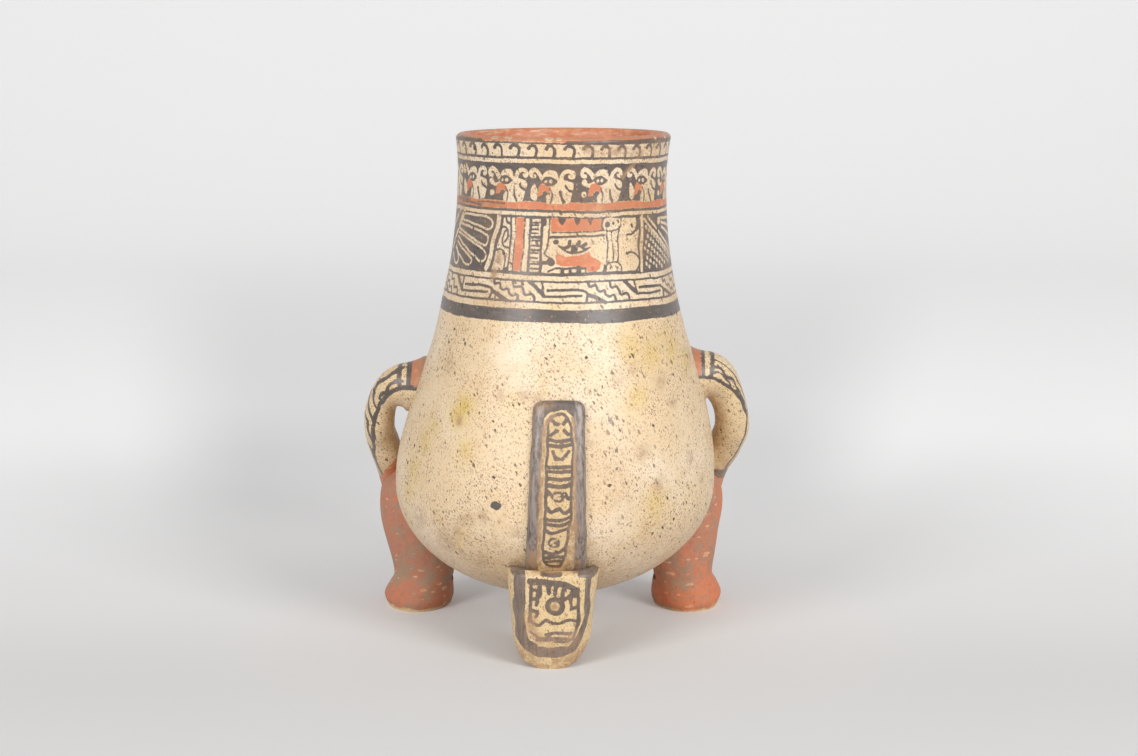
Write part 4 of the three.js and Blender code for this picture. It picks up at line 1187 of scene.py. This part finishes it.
def paintArm(made, word, along, angle, radius):
    across = np.radians(angle)[None, :] * radius[:, None]
    up = np.repeat(along[:, None], len(angle), 1)
    canvas = Canvas(np.append(across, [0, 0]), np.append(up, along[[0, -1]]))
    flat = np.stack([canvas.across, canvas.up], 1)
    canvas.across = canvas.across + 0.35 * ripple(flat, 9, 41)
    stops = np.array(arm["zone"][word], float)
    line = np.linspace(0, stops[-1, 0], 40)

    def edgeAt(level):
        return np.radians(np.interp(level, stops[:, 0], stops[:, 1])) * np.interp(level, along, radius)

    edge = edgeAt(line)
    wide, past = 40, 140         # mm, beyond the arm's far side and its tip
    for low, high, slip in [(0, arm["rootOrange"], "orange")] + [(*band, "dark") for band in arm["bands"][word]]:
        canvas.shape([(-wide, low), (wide, low), (wide, high), (-wide, high)], slip)
    for way in (-1, 1):
        rim = np.stack([way * edge, line], 1)
        canvas.shape(np.vstack([rim, rim[::-1] + (way * 30, 0)]), "bare")
        canvas.line(rim, arm["edgeLine"][word], curved=False)
        for stroke, width in arm["strokes"][word]:
            canvas.line([(way * share * edgeAt(level), level) for level, share in stroke], width)
        canvas.shape([(way * x, y) for x, y in arm["paw"][word] + [(wide, past), (0, past)]], "orange")
        if arm["pawDark"][word]:
            canvas.shape([(way * x, y) for x, y in arm["pawDark"][word]])
    under = np.degrees(np.abs(canvas.across)) / np.interp(canvas.up, along, radius)
    # the inner side, where the arm faces the jar, darkens: painted shade there, with some brown grime
    undersideShadeAndGrime = 0.6 * np.clip((under - 95) / 50, 0, 1)
    root = 0.8 * np.clip((10 - canvas.up) / 3, 0, 1) * (under < 88)
    paw = 0.42 * np.clip((canvas.up - 72) / 12, 0, 1)
    canvas.stainAndShade = np.maximum(np.maximum(undersideShadeAndGrime, root), paw)
    canvas.wearAndLight = 0.3 * (canvas.up > 60)
    canvas.yellow = np.full(len(under), 0.15)
    canvas.store(made.data)


tail = {
    "width": 52, "depth": 36, "toeWidth": 24, "toeDepth": 22, "toeRound": 26, "toeTuck": 1, "overhang": 0.8,
    "ledgeRound": 3, "squareness": 2.5, "taper": 0.1, "taperFrom": 54, "taperRun": 26, "columns": 200, "step": 0.6,
    "strapRise": 63, "strapTopWidth": 27.5, "strapFootWidth": 35, "strapOffset": 1.5, "strapRelief": 4.2,
    "strapCorner": 4.5, "strapSquareness": 3.2, "strapColumns": 150,
}
tailTop = span("tail_support")[1]
tailBack = jar["bellyRadius"] + tail["overhang"]


def tailRings():
    def ring(z, width, depth, tuck):
        return (0, depth / 2 + tuck - tailBack, z, width / 2, depth / 2)

    rings = []
    for angle in np.linspace(0, math.pi / 2, 4):
        share = math.sin(angle)
        width = tail["toeWidth"] + (tail["width"] - tail["toeWidth"]) * share
        depth = tail["toeDepth"] + (tail["depth"] - tail["toeDepth"]) * share
        rings.append(ring(tail["toeRound"] * (1 - math.cos(angle)), width, depth, tail["toeTuck"] * (1 - share)))
    rounded = tail["ledgeRound"]
    rings.append(ring(tailTop - rounded, tail["width"], tail["depth"], 0))
    rings.append(ring(tailTop, tail["width"] - 2 * rounded, tail["depth"] - 2 * rounded, rounded))
    return np.array(rings, float)


def makeTailSupport():
    rings = tailRings()
    loops = levelStack(rings, 0, len(rings) - 1, tail["step"], tail["columns"], 0, tail["squareness"])
    loops[..., 0] *= 1 - tail["taper"] * np.clip((tail["taperFrom"] - loops[..., 2]) / tail["taperRun"], 0, 1)
    loops = lute(uneven(loops, amount=0.4, size=20, seed=51), reach=4, flare=1.2)
    made = skin("tailSupport", loops, painted)
    paintSupport(made)
    keep(made, "painted_slip", "tail_support")


# across from the middle and height, mm: dark strokes by width, stains with width and strength
supportPaint = {
    "border": [(-22.6, 70), (-22.2, 34), (-20.4, 18), (-16, 11), (-8, 7), (6, 7), (14, 10.6), (18.6, 18), (21.4, 32),
               (22.6, 70)],
    "panel": [(-15.6, 70), (-15.4, 30), (-14.6, 21), (-10, 14), (10, 13.4), (15, 20), (18.4, 32), (19, 70)],
    "ring": [(1.0, 43), (-3, 40.6), (-4, 36.6), (-1.6, 32.8), (2.4, 31.8), (6, 34), (7.4, 37.4), (5.4, 41.4)],
    "ringHole": (1.6, 37.4, 2.6, 2.6),
    "strokes": {
        3.2: [[(-13.2, 51.7), (-2.2, 51.2), (6.6, 49.7), (14.3, 46.6)]],
        3.0: [[(-25.5, 57.6), (-17.3, 57.8)], [(12, 57.6), (26, 56.4)]],
        2.6: [[(-23, 55.4), (-17, 55.8)], [(-6, 55.8), (4, 55.4)], [(15, 55.2), (20, 54), (25, 54.6)]],
        2.5: [[(-7.1, 50), (-7.1, 43.8)], [(-2.7, 50), (-2.2, 44.9)], [(1.7, 50), (1.7, 44.6)],
              [(6.6, 49), (6.1, 43.8)]],
        2.2: [[(3.3, 42.2), (7.4, 41), (10.8, 44.2), (13.6, 44.8)]],
        2.1: [[(-11.5, 47.2), (-7.6, 46.6), (-8.6, 43.8)], [(-11.5, 41), (-8.2, 40.6), (-8.8, 37.9)],
              [(-11.5, 34.7), (-8.2, 33.8), (-9.3, 31.1)], [(13.8, 43.4), (10.5, 41.4), (11, 38.1)],
              [(14, 36), (10.8, 35)], [(-3, 20.8), (10.6, 21.6)], [(-8, 17.6), (9.6, 17.8)]],
        2.0: [[(14.3, 46.6), (15.2, 39.2), (14.9, 27.9), (12.1, 17.6)]],
        1.9: [[(-12.4, 52.3), (-12.2, 40), (-12.4, 28.4)],
              [(-13.2, 29), (-7.7, 26.2), (-3.3, 29), (0, 27.3), (4.4, 27.3), (8.8, 29), (13.8, 27.9)]],
        1.7: [[(-12, 22), (-6, 18.6), (-1, 19)], [(2, 16.6), (8, 16), (12, 18.4)], [(-13, 17), (-9, 14.6)]],
    },
    "stains": [
        ([(1.6, 37.4)], 3.4, 1), ([(-13.4, 30), (-11, 22), (-6, 17), (6, 15.6), (12, 18)], 5.5, 0.75),
        ([(-22, 6), (0, 3), (20, 6)], 7, 0.9), ([(-10, 58), (12, 58)], 2.4, 1),
    ],
}
strapPaint = {
    "panel": [(-10.4, 50), (-10.4, 80), (-9.3, 130), (-8.4, 145), (-5, 149), (4, 149.4), (8, 146), (9.8, 130),
              (10.4, 80), (10.6, 50)],
    "strokes": {
        2.6: [[(-6.4, 108.4), (0, 107.4), (7.8, 108.6)]],
        2.1: [[(-3.8, 144.4), (-0.8, 141.7)], [(4.9, 144.7), (2.2, 141.9)], [(-4.5, 136.3), (-1.2, 138.7)],
              [(5.8, 136.3), (2.8, 138.5)], [(-5.6, 133.5), (0, 132.4), (7.8, 133.7)],
              [(-6, 130.4), (0, 129.8), (7.8, 130.8)], [(-3.2, 126.9), (-1.4, 122.3)], [(5.6, 126.9), (2.4, 122.5)],
              [(-6.2, 118.6), (7.6, 118.4)], [(-6.2, 115.9), (7.6, 115.7)], [(-6.2, 111.5), (7.6, 111.7)],
              [(-6.4, 96.2), (-3, 92.9), (0.6, 95), (4, 92.5), (7.4, 94.6)], [(-6.6, 89.4), (0, 87.9), (7.2, 90.2)],
              [(-6.6, 86.5), (0, 84.8), (7, 87.1)], [(-6.6, 82.8), (-2, 80.5), (6.4, 83.6)],
              [(-6.6, 69), (-2.6, 67), (1.5, 68.4), (5, 71.5)], [(-6.8, 65), (4, 65.6)], [(-6.4, 62.4), (3.6, 62.8)],
              [(4.4, 103.9), (6.4, 100.8)], [(-5.6, 104.9), (-3.4, 102.4)]],
        # the outline of the leaf
        1.7: [[(-0.2, 147.9), (-3.7, 146.7), (-5.7, 143.4), (-6.2, 128.5), (-6.6, 108), (-6.8, 82.5), (-7.3, 67.2),
               (-5.6, 60.4), (-1, 58.5), (2.4, 59.4), (4.2, 63), (5.8, 72.3), (7.6, 87.6), (8.0, 108), (8.2, 130.5),
               (5.9, 142.8), (3, 146.9), (-0.2, 147.9)]],
    },
    "rings": [(0.5, 101.4), (-1.2, 74.6)],
    "stains": [
        ([(-9.6, 60), (-9.3, 100), (-8.2, 140), (-3, 147.6)], 1.5, 1),
        ([(9.8, 60), (10, 80), (9.6, 100), (9.6, 130), (7.6, 145.4)], 1.0, 1), ([(0, 62), (0, 142)], 8, 0.3),
        ([(-14, 56), (-13.4, 66)], 4, 0.9), ([(7, 56), (7.8, 68), (9.6, 84)], 3.2, 1),
        ([(-12, 151), (-6, 152.6)], 3, 0.7), ([(13, 58), (13, 61)], 3, 0.8),
    ],
}


def paintTable(canvas, table):
    for width, strokes in table["strokes"].items():
        for stroke in strokes:
            canvas.line(stroke, width)
    for points, width, amount in table["stains"]:
        canvas.wash("stainAndShade", points, width, amount)


def paintSupport(made):
    points = places(made)
    x, z = points[:, 0], points[:, 2]
    canvas = Canvas(x + 0.4 * ripple(points, 11, 61), z + 0.4 * ripple(points, 11, 62))
    canvas.shape(supportPaint["border"])
    canvas.shape(supportPaint["panel"], "bare")
    canvas.shape(supportPaint["ring"], curved=True)
    canvas.spot(*supportPaint["ringHole"], "bare")
    paintTable(canvas, supportPaint)
    canvas.wearAndLight = np.where((np.abs(x) < 16) & (z > 23), 0.1, 0.4)
    canvas.yellow = np.full(len(z), 0.3)
    canvas.stainAndShade = np.maximum(canvas.stainAndShade, 0.14)
    canvas.store(made.data)


def makeTailStrap():
    top = bellyHeight + tail["strapRise"]
    foot = tailTop - tail["strapRelief"]
    levels = np.concatenate([top - tail["strapCorner"] * (1 - np.sin(np.linspace(1.55, 0, 10))),
                             np.linspace(top - tail["strapCorner"], foot, round((top - foot) / tail["step"]))[1:]])
    loops = []
    for level in levels:
        slope = wallRadius(level + 1) - wallRadius(level - 1)
        outward = np.array([0, -2, -slope]) / math.hypot(2, slope)
        into = max(0, 1 - (top - level) / tail["strapCorner"])
        drawnIn = tail["strapCorner"] * (1 - math.sqrt(max(0, 1 - into * into)))
        share = (top - level) / (top - foot)
        width = tail["strapTopWidth"] + (tail["strapFootWidth"] - tail["strapTopWidth"]) * share
        centre = (tail["strapOffset"], -wallRadius(level), level)
        relief = tail["strapRelief"] - drawnIn / 2
        loops.append(loop(centre, (1, 0, 0), outward, width / 2 - drawnIn, relief, tail["strapColumns"],
                          tail["strapSquareness"]))
    loops = lute(uneven(np.stack(loops), amount=0.3, size=16, seed=71), reach=1.6, flare=0.8)
    made = skin("tailStrap", loops, painted)
    paintStrap(made)
    keep(made, "painted_slip", "tail_strap")


# a dark border, a tan strip, and a narrow leaf-shaped panel of small marks
def paintStrap(made):
    points = places(made)
    x, z = points[:, 0] - tail["strapOffset"], points[:, 2]
    canvas = Canvas(x + 0.35 * ripple(points, 9, 81), z + 0.35 * ripple(points, 9, 82))
    canvas.band(0, 200)
    canvas.shape(strapPaint["panel"], "bare")
    paintTable(canvas, strapPaint)
    for middle, height in strapPaint["rings"]:
        canvas.spot(middle, height, 4.2, 3.8, "bare")
        ring = [(middle + 2.9 * math.cos(a), height + 2.7 * math.sin(a)) for a in np.linspace(0, 2 * math.pi, 14)]
        canvas.line(ring, 1.4)
        canvas.line([(middle - 0.7, height), (middle + 0.7, height)], 0.9)
    canvas.wearAndLight = np.where(np.abs(x) < 8.6, 0.15, 0.8)
    canvas.yellow = np.full(len(z), 0.3)
    canvas.store(made.data)


for word, side in sides.items():
    makeLeg(word, side)
    makeArm(word, side)
makeTailSupport()
makeTailStrap()


head = {
    "rise": 66, "width": 66, "height": 60, "reach": 54, "skullHalf": 31, "muzzleWidth": 46, "muzzleHeight": 36,
    "muzzleLength": 18, "muzzleDrop": 6, "muzzleRound": 9, "wall": 7, "mouthGape": 6, "mouthDepth": 24,
    "earWidth": 25, "earHeight": 15, "earThickness": 10, "earSunk": 4, "earAngle": 48,
    "eyeRadius": 8, "eyeRelief": 3.4, "eyeAngle": 42, "noseWidth": 20, "noseHeight": 11, "noseRelief": 4,
    "squareness": 2.3, "columns": 110, "step": 0.9, "run": 80, "earColumns": 72, "earRows": 26, "earCup": 3.2,
    "eyeLine": 1.3, "eyeLineOut": 1.2, "pupil": 3.1,
    "spots": 26, "spotRadius": 1.9, "whiskers": 5, "whiskerRadius": 0.9,
}
headCentre = bellyHeight + head["rise"]
headRoot = float(wallRadius(headCentre))
muzzleTip = headRoot + head["reach"]
muzzleRoot = muzzleTip - head["muzzleLength"]
muzzleCentre = headCentre - head["muzzleDrop"]
skullMiddle = (headRoot + muzzleRoot) / 2


def headRings(thicker):          # x, y, z, half width, half height
    rings = []
    for angle in np.linspace(-math.pi / 3, math.pi / 6, 4):
        y = skullMiddle + head["skullHalf"] * math.sin(angle)
        rings.append((0, y, headCentre, head["width"] * math.cos(angle), head["height"] * math.cos(angle)))
    for angle in domeAngles:
        y = muzzleTip + thicker - head["muzzleRound"] * (1 - math.sin(angle))
        size = math.cos(angle)
        rings.append((0, y, muzzleCentre, head["muzzleWidth"] * size, head["muzzleHeight"] * size))
    rings = np.array(rings, float)
    rings[:, 3:] = rings[:, 3:] / 2 + thicker
    return rings


def headStack(thicker, dropped, step, columns):
    rings = headRings(thicker)
    last = len(rings) - 1
    shares = np.linspace(0, (last - dropped) / last, round(head["run"] / step))
    return ringLoops(rings, shares, (1, 0, 0), (0, 0, 1), columns, 0, head["squareness"])


def onHead(y, degrees):          # a point of the head's skin
    rings = headRings(0)
    shares = np.linspace(0, 1, 2000)
    track = throughPoints(rings[:, :3], shares)
    share = np.interp(y, track[:, 1], shares)
    centre = throughPoints(rings[:, :3], np.array([share]))[0]
    half = throughPoints(rings[:, 3:], np.array([share]), 0)[0]
    angle = math.radians(degrees)
    power = 2 / head["squareness"]
    return centre + np.array([half[0] * math.cos(angle) ** power, 0, half[1] * math.sin(angle) ** power])


def mouthCutter():
    lipLine = muzzleCentre - head["mouthGape"] / 2
    gape = head["mouthGape"]
    front = muzzleTip + 1
    back = muzzleTip - head["mouthDepth"]
    y = np.array([back, front, front, back])
    z = lipLine + gape * np.array([-1 / 4, -1, 1 / 2, 1 / 4])
    ends = (-head["width"], head["width"])
    return skin("mouth", np.stack([np.stack([np.full(4, x), y, z], 1) for x in ends]), clay)


eyePlace = onHead(muzzleRoot, head["eyeAngle"])
eyeWay = unit(np.array([eyePlace[0], head["width"] / 2, eyePlace[2] - headCentre]))
eyeMiddle = eyePlace + eyeWay * (head["eyeRelief"] - head["eyeRadius"])


def ball(name, centre, halves, finish, columns=64):
    angles = np.linspace(-math.pi / 2 + 0.02, math.pi / 2 - 0.02, columns // 2)
    loops = np.stack([loop(np.add(centre, (0, 0, halves[2] * math.sin(a))), (1, 0, 0), (0, 1, 0),
                           halves[0] * math.cos(a), halves[1] * math.cos(a), columns) for a in angles])
    return skin(name, uneven(loops, amount=0.15, size=9, seed=91), finish)


# a cat's face in the plain way: ringed eyes, a dark mouth line, spots and whisker dots
def paintHeadPiece(made):
    x, y, z = places(made).T
    side = np.stack([np.abs(x), y, z], 1)        # both sides are painted alike
    canvas = Canvas(side[:, 0], z)
    toEye = np.linalg.norm(side - eyeMiddle, axis=1)
    ringed = head["eyeLine"] - np.abs(toEye - head["eyeRadius"] - head["eyeLineOut"])
    lipLine = muzzleCentre - head["mouthGape"] / 2
    ahead = y - muzzleRoot
    gums = np.minimum(head["mouthGape"] * 0.95 - np.abs(z - lipLine + 1), ahead + 7)
    canvas.dark = np.maximum(canvas.dark, np.maximum(ringed, gums))
    snout = np.minimum(z - lipLine - 9, 8 - side[:, 0])
    canvas.orange = np.maximum(canvas.orange, np.minimum(snout, ahead + 2))
    rng = np.random.default_rng(17)
    for k in range(head["spots"]):
        degrees = rng.uniform(-30, 88)
        spot = onHead(rng.uniform(headRoot + 4, muzzleRoot - 3), abs(degrees))
        spot[2] = headCentre + math.copysign(spot[2] - headCentre, degrees)
        if np.linalg.norm(spot - eyeMiddle) > head["eyeRadius"] + 6:
            away = np.linalg.norm(side - spot, axis=1)
            canvas.dark = np.maximum(canvas.dark, head["spotRadius"] - away)
    for k in range(head["whiskers"]):
        away = np.linalg.norm(side - onHead(muzzleTip - 8, 4 + 12 * k), axis=1)
        canvas.dark = np.maximum(canvas.dark, head["whiskerRadius"] - away)
    canvas.store(made.data)


def paintEye(made):
    points = places(made)
    points[:, 0] = np.abs(points[:, 0])
    pupil = eyeMiddle + eyeWay * head["eyeRadius"]
    away = np.linalg.norm(points - pupil, axis=1)
    canvas = Canvas(points[:, 0], points[:, 2])
    canvas.dark = head["pupil"] - away
    canvas.store(made.data)


def makeHead():
    outside = uneven(headStack(0, 0, head["step"], head["columns"]), amount=0.4, size=26, seed=95)
    outside = lute(outside, reach=6, flare=2.4)
    hollow = headStack(-head["wall"], dropped=2, step=4, columns=40)
    hollow = lute(hollow, reach=1, flare=0, sink=-0.6)
    made = carve(skin("potHead", outside, painted), skin("hollow", hollow, clay), mouthCutter())
    paintHeadPiece(made)
    keep(made, "painted_slip", "head")
    nose = onHead(muzzleTip - head["noseHeight"] / 2, 90)
    nose = nose + (0, head["noseRelief"] / 2, -head["noseRelief"] / 2)
    halves = (head["noseWidth"] / 2, head["noseHeight"] / 2, head["noseHeight"] / 2)
    keep(ball("potNose", nose, halves, legSlip), "orange_slip", "nose")
    for word, side in sides.items():
        flip = np.array([side["sign"], 1, 1])
        eye = ball(word + "Eye", eyeMiddle * flip, [head["eyeRadius"]] * 3, painted)
        paintEye(eye)
        keep(eye, "painted_slip", word + "_eye")
        makeEar(word, flip)


def makeEar(word, flip):
    foot = onHead(skullMiddle, head["earAngle"]) * flip
    rise = unit(np.array([foot[0], 0, foot[2] - headCentre]))
    wide = np.cross(rise, (0, 1, 0))
    angles = np.linspace(0, 1.53, head["earRows"])
    levels = np.append(-head["earSunk"], head["earHeight"] * np.sin(angles))
    halves = np.outer(np.append(1, np.cos(angles)), [head["earWidth"] / 2, head["earThickness"] / 2])
    loops = np.stack([loop(foot + rise * level, wide, (0, 1, 0), *half, head["earColumns"])
                      for level, half in zip(levels, halves)])
    ahead = loops[..., 1] - loops[..., 1].mean(1, keepdims=True)
    share = np.linspace(0, 1, len(loops))[:, None]
    cup = np.clip(ahead / (head["earThickness"] / 2), 0, 1) ** 2 * share ** 0.5
    loops[..., 1] -= head["earCup"] * cup * (1 - 0.9 * share)      # pressed hollow in front
    loops = uneven(loops, amount=0.3, size=14, seed=97)
    keep(skin(word + "Ear", loops, legSlip), "orange_slip", word + "_ear")


makeHead()


pellets = {"radius": 4.2, "lumps": 0.07, "lumpScale": 160.0}


def makePellets():
    tree = clayPelletTree()
    for k, joint in enumerate(frame["joints"]):
        body = joint["child"]
        node = frame["record"]["behaviour"]["bodies"][body][0]
        low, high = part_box(node)
        values = {"Radius": pellets["radius"] / 1000, "Lumps": pellets["lumps"], "Seed": float(k), "Finish": clay}
        made = grow(node.replace("_pellet", "Rattle"), tree, [(low + high) / 2], values)
        keep(made, "bare_clay", node, body=body)


makePellets()


# plain pale sweep, soft boxes and the camera
stage = {
    "floorFront": -4.0, "wallAt": 1.9, "bend": 0.9, "wallTop": 4.0, "halfWidth": 6.0,
    "focal": 2120, "frameWidth": 1138, "sensor": 36,
    "eye": (0.0076, -1.2874, 0.362), "pitch": 9.37, "lampAim": (0, -0.02, 0.15),
    "lamps": {
        "leftBox": {"at": (-1.4, -1.8, 1.1), "size": 0.9, "power": 26},
        "rightBox": {"at": (1.45, -1.75, 1.1), "size": 0.9, "power": 32.6},
        "frontBox": {"at": (-0.15, -1.9, 1.75), "size": 1.0, "power": 2.5},
    },
    "ambient": 0.408, "paleRoom": 0.78,      # the room's light, and how pale the camera sees it
    # painted light: the glow that the lit paper shows behind the pot and round it, and the mm between which that
    # rises
    "farGlow": 0.285, "farRise": (-150, 640), "nearGlow": 0.072, "nearRise": (-170, 30),
    # the pot's shadow painted into that glow: wide behind it, and close beside it where it holds back the near glow
    "shadeLeft": 42, "shadeHalf": 174, "shadeSpread": 0.19, "shadeEdge": (1.28, 0.76),
    "shadeFrom": (120, 520), "shadeTo": (2400, 600), "shadeDepth": 0.56,
    "closeFrom": (150, 380), "closeTo": (800, 500), "closeDepth": 0.9,
    # away from the pot the paper shows one even tone
    "viewSpread": 0.27, "evenAside": (450, 900), "evenFront": (-450, -1100),
}


def inView(wire):            # 1 for what the camera sees, itself or in gloss and glass
    ray = wire.node("ShaderNodeLightPath", out="Is Camera Ray")
    return wire.math("MAXIMUM", ray, wire.math("MAXIMUM", ray["Is Glossy Ray"], ray["Is Transmission Ray"]))


def makeSweep():
    angle = np.linspace(0, math.pi / 2, 24)
    line = [(stage["floorFront"], 0.0)]
    line += [(stage["wallAt"] + stage["bend"] * math.sin(a), stage["bend"] * (1 - math.cos(a))) for a in angle]
    line += [(stage["wallAt"] + stage["bend"], stage["wallTop"])]
    points = [(x, y, z) for y, z in line for x in (-stage["halfWidth"], stage["halfWidth"])]
    faces = [(2 * k, 2 * k + 1, 2 * k + 3, 2 * k + 2) for k in range(len(line) - 1)]
    sweep = newObject("studioSweep", points, (), faces)
    sweep.data.shade_smooth()
    finish, wire, spot = newFinish("pale_paper")
    back = spot.axis("Y")
    seen = inView(wire)
    far = back.between(*stage["farRise"])
    aside = wire.math("ABSOLUTE", back["X"] + stage["shadeLeft"])
    aside = (aside / (back * stage["shadeSpread"] + stage["shadeHalf"])).between(*stage["shadeEdge"])
    # painted shadows of the pot in the paper's glow, and painted light near its foot
    paintedShadowBehind = aside * back.between(*stage["shadeFrom"]) * back.between(*stage["shadeTo"])
    paintedShadowClose = aside * back.between(*stage["closeFrom"]) * back.between(*stage["closeTo"])
    paintedNearLight = back.between(*stage["nearRise"]) * (1 - paintedShadowClose * stage["closeDepth"]) * stage["nearGlow"]
    beyond = (wire.math("ABSOLUTE", back["X"]) - back * stage["viewSpread"]).between(*stage["evenAside"])
    beyond = wire.math("MAXIMUM", beyond, back.between(*stage["evenFront"])) * seen
    tone = far.mix(tones["paper"], tones["paperFar"])
    tone = (noise(spot, 500, 2.0, 0.5, 1) * 0.06).mix(tone, tones["paperCloud"])
    tone = beyond.mix(tone, tones["black"])
    glow = (far * (1 - paintedShadowBehind * stage["shadeDepth"]) * stage["farGlow"] + paintedNearLight) * seen
    glow = glow.mix(tones["black"], tones["white"])
    glow = beyond.mix(glow, tones["evenPaper"])
    lit = {"Emission Color": glow, "Emission Strength": 1.0, "Specular IOR Level": 0.2}
    endFinish(wire, tone, 0.9, noise(spot, 3, 2.0, 0.5, 2), 0.02, lit)
    sweep.data.materials.append(finish)


def makeLamps():
    for name, lamp in stage["lamps"].items():
        light = bpy.data.lights.new(name, "AREA")
        light.shape = "SQUARE"
        light.size = lamp["size"]
        light.energy = lamp["power"]
        made = bpy.data.objects.new(name, light)
        made.location = lamp["at"]
        aim = Vector(stage["lampAim"]) - Vector(lamp["at"])
        made.rotation_euler = aim.to_track_quat("-Z", "Y").to_euler()
        scene.collection.objects.link(made)
    world = bpy.data.worlds.new("studio")
    world.use_nodes = True
    world.node_tree.nodes.clear()
    wire = Wire(world.node_tree)
    strength = inView(wire) * (stage["paleRoom"] - stage["ambient"]) + stage["ambient"]
    room = wire.node("ShaderNodeBackground", {}, {"Color": (1, 1, 1, 1), "Strength": strength})
    wire.node("ShaderNodeOutputWorld", {}, {"Surface": room})
    scene.world = world


def makeCamera():
    lens = bpy.data.cameras.new("viewer")
    lens.sensor_width = stage["sensor"]
    lens.lens = stage["focal"] / stage["frameWidth"] * stage["sensor"]
    lens.clip_start = 0.05
    made = bpy.data.objects.new("viewer", lens)
    made.location = stage["eye"]
    made.rotation_euler = (math.radians(90 - stage["pitch"]), 0, 0)
    scene.collection.objects.link(made)
    scene.camera = made


makeSweep()
makeLamps()
makeCamera()
print("stage set")
